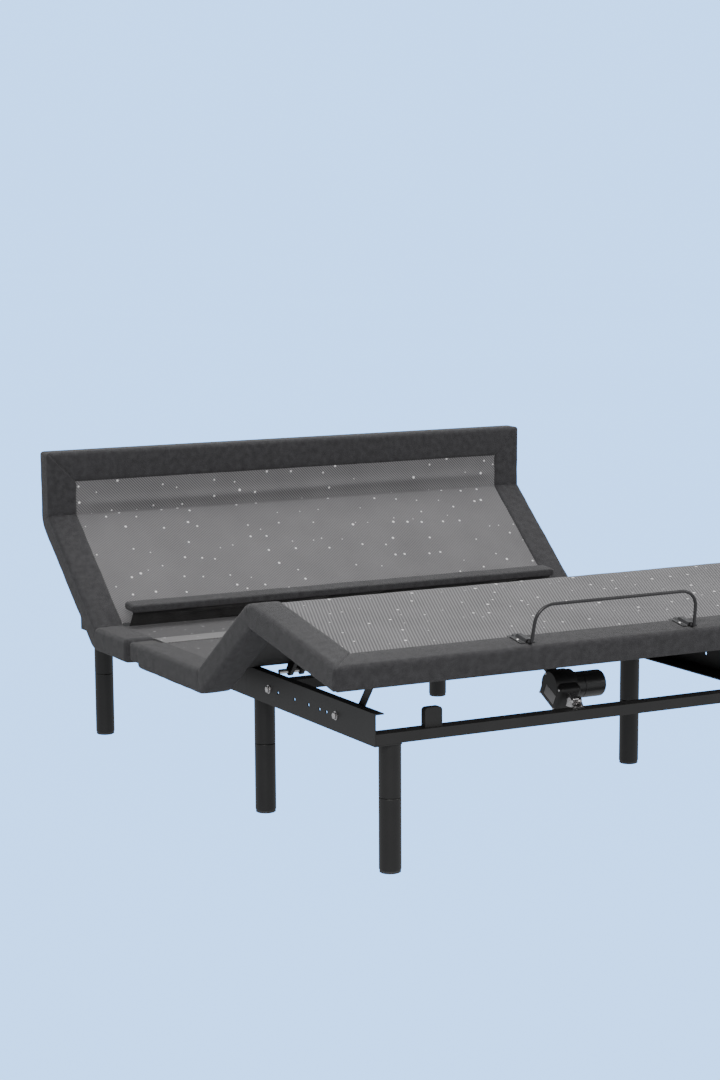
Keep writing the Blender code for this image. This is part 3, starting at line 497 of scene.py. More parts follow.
def build_object(
    name: str, grids: list[Grid], material: bpy.types.Material, smooth: bool = True,
) -> bpy.types.Object:
    """Joins patches into one object with welded edges and outward normals.

    Args:
        name: the object's name.
        grids: the patches.
        material: its finish.
        smooth: whether it is shaded smooth.

    Returns:
        The object.
    """
    points, faces, corners = [], [], []
    used = 0
    for grid in grids:
        rows, columns = grid.points.shape[:2]
        index = np.arange(rows * columns).reshape(rows, columns) + used
        if grid.wraps:
            index = np.concatenate([index, index[:, :1]], axis=1)
        coordinates = grid.unwrapped
        ring = (slice(None, -1), slice(1, None))
        order = ((ring[0], ring[0]), (ring[0], ring[1]), (ring[1], ring[1]), (ring[1], ring[0]))
        quads = np.stack([index[r, c] for r, c in order], axis=-1).reshape(-1, 4)
        texture = np.stack([coordinates[r, c] for r, c in order], axis=2).reshape(-1, 2)
        faces += quads.tolist()
        corners.append(texture)
        for wanted, row in ((grid.first_cap, 0), (grid.last_cap, -1)):
            if wanted:
                cap = index[row, :columns]
                faces.append((cap[::-1] if row == 0 else cap).tolist())
                edge = coordinates[row, :columns]
                corners.append(edge[::-1] if row == 0 else edge)
        points.append(grid.points.reshape(-1, 3))
        used += rows * columns
    mesh = bpy.data.meshes.new(name)
    mesh.from_pydata(np.concatenate(points).tolist(), [], faces)
    layer = mesh.uv_layers.new(name="UVMap")
    layer.data.foreach_set("uv", np.concatenate(corners).astype(np.float32).ravel())
    shape = bmesh.new()
    shape.from_mesh(mesh)
    bmesh.ops.remove_doubles(shape, verts=shape.verts, dist=SMALLEST_WELD)
    bmesh.ops.recalc_face_normals(shape, faces=shape.faces)
    shape.to_mesh(mesh)
    shape.free()
    mesh.polygons.foreach_set("use_smooth", [smooth] * len(mesh.polygons))
    made = bpy.data.objects.new(name, mesh)
    bpy.context.scene.collection.objects.link(made)
    mesh.materials.append(material)
    LOG.info("%s: %d faces", name, len(mesh.polygons))
    return made


def crease(made: bpy.types.Object, degrees: float = 35.0) -> bpy.types.Object:
    """Keeps edges sharper than an angle crisp.

    Args:
        made: the object.
        degrees: the angle.

    Returns:
        The same object.
    """
    made.data.set_sharp_from_angle(angle=math.radians(degrees))
    return made


def turned(points: list[tuple[float, float]], sides: int, start: float = 0.0) -> Grid:
    """Returns a surface of revolution about z through the origin.

    Args:
        points: (radius, height) from one end to the other.
        sides: how many sides the circle has.
        start: the angle of the first side.
    """
    outline = np.array(points, float)
    angle = start + np.linspace(0.0, TURN, sides, endpoint=False)
    radius, height = outline[:, :1], outline[:, 1:]
    ones = np.ones_like(angle)[None, :]
    grid = np.stack([radius * np.cos(angle), radius * np.sin(angle), height * ones], axis=-1)
    run = np.concatenate([[0.0], np.cumsum(np.hypot(*np.diff(outline, axis=0).T))])
    turn = np.linspace(0.0, TURN, sides + 1) * outline[:, 0].max()
    texture = np.stack(np.broadcast_arrays(turn[None, :], run[:, None]), axis=-1)
    return Grid(grid, texture, True, True, True)


def aimed(grid: Grid, origin: np.ndarray, axis: np.ndarray, across: np.ndarray | None = None) -> Grid:
    """Turns a patch so that its z lies along an axis, and moves it.

    Args:
        grid: the patch.
        origin: where its origin goes.
        axis: where its z goes.
        across: roughly where its x goes.

    Returns:
        The placed patch.
    """
    up = np.array(axis, float) / np.linalg.norm(axis)
    if across is None:
        across = np.array([1.0, 0.0, 0.0]) if abs(up[0]) < 0.9 else np.array([0.0, 1.0, 0.0])
    second = np.cross(up, across)
    second /= np.linalg.norm(second)
    first = np.cross(second, up)
    placed = grid.points @ np.stack([first, second, up]) + np.array(origin, float)
    return Grid(placed, grid.unwrapped, grid.wraps, grid.first_cap, grid.last_cap)


def along_line(points: np.ndarray, radius: float, sides: int) -> Grid:
    """Returns a round bar along a flat line.

    Args:
        points: the line's points.
        radius: the bar's radius.
        sides: how many sides it has.
    """
    tangent = np.gradient(points, axis=0)
    tangent /= np.linalg.norm(tangent, axis=1)[:, None]
    side = np.cross(tangent, np.array([0.57, 0.63, -0.53]))
    side /= np.linalg.norm(side, axis=1)[:, None]
    other = np.cross(tangent, side)
    angle = np.linspace(0.0, TURN, sides, endpoint=False)[None, :, None]
    grid = points[:, None, :] + radius * (
        np.cos(angle) * side[:, None, :] + np.sin(angle) * other[:, None, :]
    )
    run = np.concatenate([[0.0], np.cumsum(np.linalg.norm(np.diff(points, axis=0), axis=1))])
    turn = np.linspace(0.0, TURN, sides + 1) * radius
    texture = np.stack(np.broadcast_arrays(turn[None, :], run[:, None]), axis=-1)
    return Grid(grid, texture, True, True, True)


def rounded_block(size: tuple[float, float, float], radius: float, steps: int = 5) -> list[Grid]:
    """Returns a box with every edge rounded, centred on the origin.

    Args:
        size: its three sides.
        radius: the edge radius.
        steps: how many faces make one rounding.
    """
    half = np.array(size, float) / 2.0
    line = []
    for length in half:
        bend = np.linspace(0.0, 1.0, steps + 1)
        inner = length - radius
        low = -length + radius * (1.0 - np.cos(bend * math.pi / 2.0))
        line.append(np.unique(np.round(np.concatenate([low, np.linspace(-inner, inner, 4), -low]), 7)))
    grids = []
    for axis in range(3):
        first, second = (axis + 1) % 3, (axis + 2) % 3
        u, v = np.meshgrid(line[first], line[second], indexing="ij")
        for sign in (-1.0, 1.0):
            cube = np.zeros((*u.shape, 3))
            cube[..., first], cube[..., second], cube[..., axis] = u, v, sign * half[axis]
            core = np.clip(cube, radius - half, half - radius)
            out = cube - core
            length = np.linalg.norm(out, axis=-1, keepdims=True)
            placed = core + radius * out / np.maximum(length, 1e-9)
            grids.append(Grid(placed, np.stack([u, v], axis=-1)))
    return grids


# ---------------------------------------------------------------- the side view of the deck


@dataclass(frozen=True)
class Stretch:
    """A straight or turning part of the deck's side view."""

    length: float
    origin: np.ndarray
    angle: float
    hand: float
    sweep: float = 0.0
    height: float = 0.0

    def at(self, distance: np.ndarray) -> tuple[np.ndarray, np.ndarray]:
        """Returns points on the deck line and the upward directions there.

        Args:
            distance: how far along this stretch.
        """
        if self.sweep == 0.0:
            up = np.array([math.cos(self.angle), math.sin(self.angle)])
            ahead = self.hand * np.array([up[1], -up[0]])
            return self.origin + distance[..., None] * ahead, np.broadcast_to(up, (*distance.shape, 2))
        turned_to = self.angle + self.sweep * distance / self.length
        up = np.stack([np.cos(turned_to), np.sin(turned_to)], axis=-1)
        return self.origin - self.height * up, up


class Route:
    """The deck's side view from the seat out to one end, through its folds."""

    def __init__(self, start: tuple[float, float], hand: float, folds: list[tuple], end: float) -> None:
        """Lays out the stretches.

        Args:
            start: where it starts, as (y, z).
            hand: 1 towards the head, -1 towards the foot.
            folds: for each fold, its hinge as (y, z), the next part's upward angle and the height of
                the centre that it turns about.
            end: the last part's length beyond its hinge.
        """
        self.stretches: list[Stretch] = []
        self.folds: list[tuple[float, float]] = []
        place, angle = np.array(start, float), math.pi / 2.0
        for hinge, next_angle, height in folds:
            hinge = np.array(hinge, float)
            sweep = next_angle - angle
            reach = abs(height) * math.tan(abs(sweep) / 2.0)
            self.stretches.append(Stretch(float(np.linalg.norm(hinge - place)) - reach, place, angle, hand))
            up = np.array([math.cos(angle + sweep / 2.0), math.sin(angle + sweep / 2.0)])
            centre = hinge + up * height / math.cos(sweep / 2.0)
            before = self.total
            self.stretches.append(Stretch(abs(height * sweep), centre, angle, hand, sweep, height))
            self.folds.append((before, self.total))
            angle = next_angle
            up = np.array([math.cos(angle), math.sin(angle)])
            place = centre - height * up
            last = hinge
        self.stretches.append(Stretch(end - reach, place, angle, hand))
        self.last_hinge = last

    @property
    def total(self) -> float:
        """The length so far."""
        return sum(stretch.length for stretch in self.stretches)

    def at(self, distance: np.ndarray) -> tuple[np.ndarray, np.ndarray]:
        """Returns points on the deck line and the upward directions there.

        Args:
            distance: how far from the start.
        """
        places = np.zeros((*distance.shape, 2))
        ups = np.zeros((*distance.shape, 2))
        before = 0.0
        for number, stretch in enumerate(self.stretches):
            first, last = number == 0, number == len(self.stretches) - 1
            low = -np.inf if first else before
            high = np.inf if last else before + stretch.length
            here = (distance >= low) & (distance < high)
            places[here], ups[here] = stretch.at(distance[here] - before)
            before += stretch.length
        return places, ups

    def rows(self, low: float, high: float, straight: float = 8.0 * MM, bends: int = 20) -> np.ndarray:
        """Returns distances between two, close together in the folds.

        Args:
            low: the first.
            high: the last.
            straight: the widest step in a straight part.
            bends: how many steps a fold has.
        """
        marks = [np.array([low, high])]
        before = 0.0
        for stretch in self.stretches:
            after = before + stretch.length
            count = bends if stretch.sweep else max(2, int(stretch.length / straight))
            marks.append(np.linspace(before, after, count + 1))
            before = after
        every = np.unique(np.round(np.concatenate(marks), 6))
        return every[(every >= low - 1e-6) & (every <= high + 1e-6)]

    def carry(self, distance: np.ndarray, across: np.ndarray, height: np.ndarray) -> np.ndarray:
        """Returns points in the row frame.

        Args:
            distance: how far from the start.
            across: x.
            height: how far above the deck line.
        """
        distance, across, height = np.broadcast_arrays(distance, across, height)
        place, up = self.at(distance)
        flat = place + height[..., None] * up
        return np.concatenate([across[..., None], flat], axis=-1)

    def point(self, distance: float, height: float = 0.0) -> Vector:
        """Returns one point on the centre line, in the row frame.

        Args:
            distance: how far from the start.
            height: how far above the deck line.
        """
        return Vector(self.carry(np.array([distance]), np.array([0.0]), np.array([height]))[0])

    def up(self, distance: float) -> np.ndarray:
        """Returns the upward direction at a distance.

        Args:
            distance: how far from the start.
        """
        _, up = self.at(np.array([distance]))
        return np.array([0.0, *up[0]])


@dataclass(frozen=True)
class Deck:
    """The deck's levels and joints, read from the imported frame."""

    low: float = -34.0 * MM
    high: float = 27.0 * MM
    width: float = 84.0 * MM
    half: float = 747.0 * MM
    net_low: float = 20.7 * MM
    net_high: float = 22.6 * MM
    clear: float = 4.0 * MM
    back_slope: float = 40.0
    pillow_slope: float = 90.0
    thigh_slope: float = 35.9
    calf_slope: float = -10.3
    pillow_length: float = 184.0 * MM
    calf_length: float = 440.0 * MM

    def hinge(self, name: str) -> tuple[float, float]:
        """Returns where a joint is, as (y, z).

        Args:
            name: the joint.
        """
        joint = next(item for item in frame["joints"] if item["name"] == name)
        return joint["pos_m"][1], joint["pos_m"][2]

    def head_route(self) -> Route:
        """Returns the route from the rear of the seat to the top of the pillow section."""
        back, pillow = self.hinge("back_hinge"), self.hinge("pillow_hinge")
        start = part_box("rear_seat_border_left")[0].y
        above = self.high + self.clear
        folds = [
            (back, math.radians(90.0 + self.back_slope), above),
            (pillow, math.radians(90.0 + self.pillow_slope), above),
        ]
        return Route((start, back[1]), 1.0, folds, self.pillow_length)

    def foot_route(self) -> Route:
        """Returns the route from the front of the seat to the foot end."""
        thigh, knee = self.hinge("thigh_hinge"), self.hinge("knee_hinge")
        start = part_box("front_seat_border_left")[1].y
        folds = [
            (thigh, math.radians(90.0 - self.thigh_slope), self.high + self.clear),
            (knee, math.radians(90.0 - self.calf_slope), self.low - self.clear),
        ]
        return Route((start, thigh[1]), -1.0, folds, self.calf_length)


def bend_at_fold(piece: bpy.types.Object, route: Route, fold: int) -> None:
    """Bakes the transform of a piece that crosses a fold into its mesh; the piece is not bent with the fold.

    Args:
        piece: the piece.
        route: the side view.
        fold: which of the route's folds.
    """
    low, high = route.folds[fold]
    route.point(low - FOLD_EASE)
    route.point(high + FOLD_EASE)
    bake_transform(piece)


def softened(values: np.ndarray, other: np.ndarray, size: float) -> np.ndarray:
    """Returns a slow uneven ripple from about -1 to 1, as four crossing waves.

    Args:
        values: one coordinate.
        other: the other coordinate.
        size: the length of the longest wave.
    """
    wave = np.sin(TURN * values / size + 0.7) + 0.7 * np.sin(TURN * other / (0.63 * size) + 2.1)
    wave += 0.6 * np.sin(TURN * (values + other) / (0.41 * size) + 4.4)
    wave += 0.5 * np.sin(TURN * (values - 0.6 * other) / (0.27 * size) + 1.3)
    return wave / 2.0


class BorderCloth:
    """The padded borders round the deck, carried through its folds."""

    def __init__(self, deck: Deck, finishes: Finishes) -> None:
        """Keeps what the borders are made from.

        Args:
            deck: the deck's levels and joints.
            finishes: the finishes.
        """
        self.deck = deck
        self.finishes = finishes
        self.corner = 11.0 * MM
        self.outer_corner = 9.0 * MM
        self.puff = 1.4 * MM
        self.groove = 1.8 * MM
        self.groove_width = 2.4 * MM
        self.nose = 16.0 * MM
        self.slack, self.slack_length = 0.45 * MM, 190.0 * MM
        self.crease, self.crease_width = 1.1 * MM, 3.0 * MM
        self.tuck, self.tuck_pitch, self.tuck_reach = 0.28 * MM, 9.0 * MM, 26.0 * MM
        self.tuck_wander = 50.0 * MM
        self.recess, self.infill_tuck, self.infill_round = 11.0 * MM, 14.0 * MM, 10.0 * MM
        self.infill_ease = 1.0 * MM
        self.infill_low = 12.0 * MM
        self.fill = 0.9

    def outline(self) -> tuple[np.ndarray, np.ndarray, np.ndarray]:
        """Returns the border's outline: how far in from the edge, the height, and the distance round it."""
        deck, radius = self.deck, self.corner
        low, high = deck.low, deck.high
        bend = np.linspace(0.0, math.pi / 2.0, 9)
        flat_in = np.linspace(radius, deck.width - radius, 15)[1:-1]
        flat_up = np.linspace(low + radius, high - radius, 9)[1:-1]
        inner, top = deck.width - radius, high - radius
        bottom = low + radius
        inward = [
            radius - radius * np.cos(bend), flat_in, inner + radius * np.sin(bend),
            np.full(flat_up.shape, deck.width),
            inner + radius * np.cos(bend), flat_in[::-1], radius - radius * np.sin(bend),
            np.zeros(flat_up.shape),
        ]
        upward = [
            top + radius * np.sin(bend), np.full(flat_in.shape, high),
            top + radius * np.cos(bend), flat_up[::-1],
            bottom - radius * np.sin(bend), np.full(flat_in.shape, low),
            bottom - radius * np.cos(bend), flat_up,
        ]
        inward, upward = np.concatenate(inward), np.concatenate(upward)
        mid_in, mid_up = deck.width / 2.0, (low + high) / 2.0
        part_in = np.clip(np.abs(inward - mid_in) / mid_in, 0.0, 1.0)
        part_up = np.clip(np.abs(upward - mid_up) / (high - mid_up), 0.0, 1.0)
        bulge_up = self.puff * np.cos(part_in * math.pi / 2.0) * np.sign(upward - mid_up) * part_up**4
        bulge_in = self.puff * np.cos(part_up * math.pi / 2.0) * np.sign(inward - mid_in) * part_in**4
        inward, upward = inward + 0.4 * bulge_in, upward + bulge_up
        closed_in, closed_up = np.append(inward, inward[0]), np.append(upward, upward[0])
        run = np.concatenate([[0.0], np.cumsum(np.hypot(np.diff(closed_in), np.diff(closed_up)))])
        return inward, upward, run

    def shrink(
        self, inward: np.ndarray, upward: np.ndarray, depth: np.ndarray,
    ) -> tuple[np.ndarray, np.ndarray]:
        """Draws an outline in towards its middle.

        Args:
            inward: how far in from the edge.
            upward: the height.
            depth: by how much.

        Returns:
            The new inward and upward.
        """
        mid_in, mid_up = self.deck.width / 2.0, (self.deck.low + self.deck.high) / 2.0
        reach = np.maximum(
            np.abs(inward - mid_in) / mid_in, np.abs(upward - mid_up) / (self.deck.high - mid_up)
        )
        share = depth / np.maximum(reach, 0.2)
        across = inward - share * (inward - mid_in) / mid_in
        return across, upward - share * (upward - mid_up) / mid_up_span(self.deck)

    def relief(
        self, route: Route, distance: np.ndarray, upward: np.ndarray, around: np.ndarray,
    ) -> np.ndarray:
        """Returns how far the outline is drawn in: a crease at each fold's inner side, and soft padding.

        Args:
            route: the side view.
            distance: how far along it.
            upward: the height.
            around: the distance round the outline.
        """
        depth = -self.slack * softened(distance, around, self.slack_length)
        for low, high in route.folds:
            middle = (low + high) / 2.0
            top = np.clip((upward - self.deck.low) / (self.deck.high - self.deck.low), 0.0, 1.0)
            near = np.exp(-(((distance - middle) / self.crease_width) ** 2))
            depth = depth + self.crease * near * top**2
            wander = 1.2 * np.sin(TURN * around / self.tuck_wander)
            tucks = np.sin(TURN * (distance - middle) / self.tuck_pitch + wander)
            zone = np.exp(-(((distance - middle) / self.tuck_reach) ** 2))
            depth = depth + self.tuck * tucks * zone * top
        return depth

    def run(self, route: Route, side: Side, low: float, high: float, nose: float = 0.0) -> Grid:
        """Returns one side border between two distances.

        Args:
            route: the side view.
            side: which side of the bed.
            low: where it starts.
            high: where it ends.
            nose: the radius of the rounded start, or 0 for a plain cut.
        """
        inward, upward, around = self.outline()
        rows = route.rows(low, high)
        drawn = np.zeros(rows.shape)
        if nose > 0.0:
            bend = np.linspace(0.0, math.pi / 2.0, 10)
            start = low + nose * (1.0 - np.cos(bend))
            shrink = nose * (1.0 - np.sin(bend))
            keep = rows > low + nose + 1e-6
            rows = np.concatenate([start, rows[keep]])
            drawn = np.concatenate([shrink, np.zeros(int(keep.sum()))])
        distance = rows[:, None] * np.ones_like(inward)[None, :]
        into = inward[None, :] * np.ones_like(distance)
        level = upward[None, :] * np.ones_like(distance)
        depth = self.relief(route, distance, level, around[None, :-1]) + drawn[:, None]
        into, level = self.shrink(into, level, depth)
        across = side.value * (self.deck.half - into)
        points = route.carry(distance, across, level)
        texture = np.stack(np.broadcast_arrays(around[None, :], rows[:, None]), axis=-1)
        return Grid(points, texture, True, True, True)

    def horseshoe(self, route: Route, low: float) -> list[Grid]:
        """Returns a border down one side, across the end and up the other side, mitred at the corners.

        Args:
            route: the side view.
            low: where both side arms start.
        """
        deck = self.deck
        inward, upward, around = self.outline()
        end = route.total
        straight = end - 1.5 * deck.width
        plain = route.rows(low, straight)
        last = np.concatenate([np.linspace(0.0, 0.85, 12)[1:], np.linspace(0.85, 1.0, 16)[1:]])
        tail = straight + last[:, None] * (end - inward[None, :] - straight)
        distance = np.concatenate([plain[:, None] * np.ones_like(inward)[None, :], tail])
        across = (deck.half - inward)[None, :] * np.ones_like(distance)
        arms = [
            self.mitred(route, distance, side.value * across, upward, around, distance) for side in Side
        ]
        arms[0].first_cap = arms[1].first_cap = True
        near = np.concatenate(
            [np.linspace(0.0, 0.06, 16)[:-1], np.linspace(0.06, 0.94, 90), np.linspace(0.94, 1.0, 16)[1:]]
        )
        share = 2.0 * near - 1.0
        across = share[:, None] * (deck.half - inward)[None, :]
        distance = (end - inward)[None, :] * np.ones_like(across)
        return [*arms, self.mitred(route, distance, across, upward, around, across)]

    def mitred(
        self, route: Route, distance: np.ndarray, across: np.ndarray, upward: np.ndarray,
        around: np.ndarray, run: np.ndarray,
    ) -> Grid:
        """Returns one leg of a mitred border, with a rounded outer corner and a sunk seam.

        Args:
            route: the side view.
            distance: how far along it each point is.
            across: x of each point.
            upward: the outline's heights.
            around: the distances round the outline.
            run: the distance along the leg.
        """
        deck, radius = self.deck, self.outer_corner
        level = upward[None, :] * np.ones_like(distance)
        from_side, from_end = deck.half - np.abs(across), route.total - distance
        seam = np.exp(-(((from_side - from_end) / (math.sqrt(2.0) * self.groove_width)) ** 2))
        depth = self.relief(route, distance, level, around[None, :-1]) * (1.0 - seam) + self.groove * seam
        mid = (deck.low + deck.high) / 2.0
        level = level - depth * (level - mid) / (deck.high - mid)
        side_in = np.where(from_side < deck.width, depth * (1.0 - 2.0 * from_side / deck.width), 0.0)
        end_in = np.where(from_end < deck.width, depth * (1.0 - 2.0 * from_end / deck.width), 0.0)
        arm = from_end >= from_side
        from_side = np.where(arm, from_side + side_in, from_side)
        from_end = np.where(arm, from_end, from_end + end_in)
        both = (from_side < radius) & (from_end < radius)
        out = np.hypot(radius - from_side, radius - from_end)
        pull = np.where(both & (out > radius), radius / np.maximum(out, 1e-9), 1.0)
        from_side = np.where(both, radius - (radius - from_side) * pull, from_side)
        from_end = np.where(both, radius - (radius - from_end) * pull, from_end)
        points = route.carry(
            route.total - from_end, np.sign(across + 1e-12) * (deck.half - from_side), level
        )
        closed = np.concatenate([run, run[:, :1]], axis=1)
        texture = np.stack(np.broadcast_arrays(around[None, :], closed), axis=-1)
        return Grid(points, texture, True)

    def build(self, head: Route, foot: Route) -> None:
        """Makes every border.

        Args:
            head: the route to the head end.
            foot: the route to the foot end.
        """
        cloth, mid_back = self.finishes.heather, (head.folds[0][1] + head.folds[1][0]) / 2.0
        mid_thigh = (foot.folds[0][1] + foot.folds[1][0]) / 2.0
        for side in Side:
            name = side.name.lower()
            back_run = self.run(head, side, 0.0, mid_back, self.nose)
            rear = build_object(f"border_rear_{name}", [back_run], cloth)
            bend_at_fold(rear, head, 0)
            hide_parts(f"rear_seat_border_{name}", f"back_border_{name}")
            thigh_run = self.run(foot, side, 0.0, mid_thigh, self.nose)
            front = build_object(f"border_front_{name}", [thigh_run], cloth)
            bend_at_fold(front, foot, 0)
            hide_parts(f"front_seat_border_{name}", f"thigh_border_{name}")
            for piece in (rear, front, self.infill(side, head, foot)):
                crease(piece, 60.0)
        top = build_object("border_head", self.horseshoe(head, mid_back), cloth)
        bend_at_fold(top, head, 1)
        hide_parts("pillow_border")
        end = build_object("border_foot", self.horseshoe(foot, mid_thigh), cloth)
        bend_at_fold(end, foot, 1)
        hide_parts("foot_border", "calf_border_left", "calf_border_right")
        for piece in (top, end):
            crease(piece, 60.0)

    def infill(self, side: Side, head: Route, foot: Route) -> bpy.types.Object:
        """Returns the recessed pad between the rear and front seat borders.

        Args:
            side: which side of the bed.
            head: the route to the head end.
            foot: the route to the foot end.
        """
        deck, recess, tuck = self.deck, self.recess, self.infill_tuck
        low_y, high_y = foot.stretches[0].origin[0] - tuck, head.stretches[0].origin[0] + tuck
        inner, outer = deck.half - deck.width + self.infill_ease, deck.half - recess
        size = (outer - inner, high_y - low_y, deck.high - deck.low - self.infill_low)
        centre = np.array([
            side.value * (inner + outer) / 2.0, (low_y + high_y) / 2.0,
            head.stretches[0].origin[1] + (deck.high + deck.low) / 2.0 - self.infill_ease,
        ])
        upright = np.array([0.0, 0.0, 1.0])
        block = [aimed(grid, centre, upright) for grid in rounded_block(size, self.infill_round, 7)]
        pad = build_object(f"border_infill_{side.name.lower()}", block, self.finishes.heather)
        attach(pad, "root")
        return pad


def mid_up_span(deck: Deck) -> float:
    """Returns half the border's height.

    Args:
        deck: the deck's levels.
    """
    return (deck.high - deck.low) / 2.0


class SprungNet:
    """The sheets of spacer net over the deck boards."""

    def __init__(self, deck: Deck, finishes: Finishes) -> None:
        """Keeps what the sheets are made from.

        Args:
            deck: the deck's levels and joints.
            finishes: the finishes.
        """
        self.deck = deck
        self.finishes = finishes
        self.tucked = 3.5 * MM
        self.half = deck.half - deck.width + self.tucked
        self.columns = 121
        self.slack, self.slack_length, self.slack_edge = 0.9 * MM, 420.0 * MM, 50.0 * MM

    def sheet(
        self, name: str, route: Route, low: float, high: float, material: bpy.types.Material,
        lift: float = 0.0, pillow: bool = False, level: bool = False,
        reach: tuple[float, float] | None = None,
    ) -> bpy.types.Object:
        """Returns one sheet between two distances.

        Args:
            name: its name.
            route: the side view.
            low: where it starts.
            high: where it ends.
            material: its finish.
            lift: how much higher than the rest it lies.
            pillow: whether it has the roll above the pillow fold.
            level: whether it stays in the plane of the seat.
            reach: where it starts and ends across the bed, or None for the full width.
        """
        rows = route.rows(low, high, 7.0 * MM, 16)
        first, last = reach or (-self.half, self.half)
        line = np.linspace(first, last, max(9, int(self.columns * (last - first) / (2.0 * self.half))))
        across = np.concatenate([line, line[::-1]])[None, :] * np.ones((len(rows), 1))
        distance = rows[:, None] * np.ones_like(across)
        top = np.concatenate([np.ones_like(line), np.zeros_like(line)])[None, :]
        height = self.deck.net_low + (self.deck.net_high - self.deck.net_low) * top + lift
        slack = 0.5 + 0.5 * softened(across, distance, self.slack_length)
        edge = np.clip((self.half - np.abs(across)) / self.slack_edge, 0.0, 1.0)
        height = height + self.slack * slack * edge
        if pillow:
            height = height + self.roll(route, distance, across) * edge
        if level:
            start = route.point(0.0)
            points = np.stack([across, start.y + distance, start.z + height], axis=-1)
        else:
            points = route.carry(distance, across, height)
        closed = np.append(line, [*line[::-1], line[0]])
        texture = np.stack(np.broadcast_arrays(closed[None, :], rows[:, None]), axis=-1)
        made = build_object(name, [Grid(points, texture, True, True, True)], material)
        return crease(made, 60.0)

    def roll(self, route: Route, distance: np.ndarray, across: np.ndarray) -> np.ndarray:
        """Returns the height of the roll of slack net above the pillow fold, with tucks at its left end.

        Args:
            route: the side view.
            distance: how far along it.
            across: x.
        """
        _, fold = route.folds[1]
        middle = fold + 30.0 * MM + 4.0 * MM * np.sin(across * 3.1)
        body = np.exp(-(((distance - middle) / (13.0 * MM)) ** 2))
        ends = 0.65 + 0.35 * np.cos(across * 2.0)
        left = np.exp(-(((across + self.half - 0.05) / 0.06) ** 2))
        tucks = np.sin(TURN * (across * 0.8 + distance) / 0.016)
        return 6.5 * MM * body * ends + 1.1 * MM * left * tucks * body

    def build(self, head: Route, foot: Route) -> None:
        """Makes every sheet.

        Args:
            head: the route to the head end.
            foot: the route to the foot end.
        """
        deck, looks = self.deck, self.finishes
        inner_head = head.total - deck.width + self.tucked
        inner_foot = foot.total - deck.width + self.tucked
        seat_low = -(head.stretches[0].origin[0] - foot.stretches[0].origin[0])
        rear_end = head.folds[0][0] + 9.0 * MM
        rear = self.sheet("net_rear_seat", head, seat_low / 2.0, rear_end, looks.seat_net, level=True)
        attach(rear, "root")
        2 * self.half
        rear_end - seat_low / 2.0
        front_low = seat_low / 2.0
        mid_thigh = (foot.folds[0][1] + foot.folds[1][0]) / 2.0
        front = self.sheet("net_front_seat", foot, -abs(front_low), mid_thigh, looks.seat_net)
        bend_at_fold(front, foot, 0)
        2 * self.half
        mid_thigh + abs(front_low)
        calf = self.sheet("net_calf", foot, mid_thigh, inner_foot, looks.calf_net)
        bend_at_fold(calf, foot, 1)
        2 * self.half
        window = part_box("back_board")[0]
        back_low = self.distance_to(head, window)
        back = self.sheet("net_back", head, back_low, inner_head, looks.net, pillow=True)
        bend_at_fold(back, head, 1)
        2 * self.half
        self.window(head, back_low)
        strip = self.sheet("net_seat_strip", foot, seat_low, 6.0 * MM, looks.strip_net, lift=2.4 * MM)
        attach(strip, "root")
        2 * self.half
        6.0 * MM - seat_low

    def window(self, route: Route, high: float) -> None:
        """Makes the net across the lumbar window, in strips between the lifting rods.

        Args:
            route: the route to the head end.
            high: where the back's own net starts.
        """
        low, clear = route.folds[0][1] + 10.0 * MM, 14.0 * MM
        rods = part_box("lumbar_rod")
        posts = [rods[0].x + clear, 0.0, rods[1].x - clear]
        starts = [-self.half, *(post + clear for post in posts)]
        ends = [*(post - clear for post in posts), self.half]
        for number, reach in enumerate(zip(starts, ends)):
            made = self.sheet(f"net_window_{number}", route, low, high, self.finishes.net, reach=reach)
            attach(made, "back")
            reach[1] - reach[0]

    def distance_to(self, route: Route, corner: Vector) -> float:
        """Returns the distance along the back at which its board starts.

        Args:
            route: the side view.
            corner: the board's lowest corner.
        """
        _, fold = route.folds[0]
        up = route.up(fold + 0.05)
        ahead = np.array([0.0, up[2], -up[1]])
        start = np.array(route.point(fold))
        lowest = np.array([0.0, corner.y, corner.z])
        along = float((lowest - start) @ ahead)
        return fold + max(along, 0.045) + 1.0 * MM


# ---------------------------------------------------------------- lumbar bar and skirt


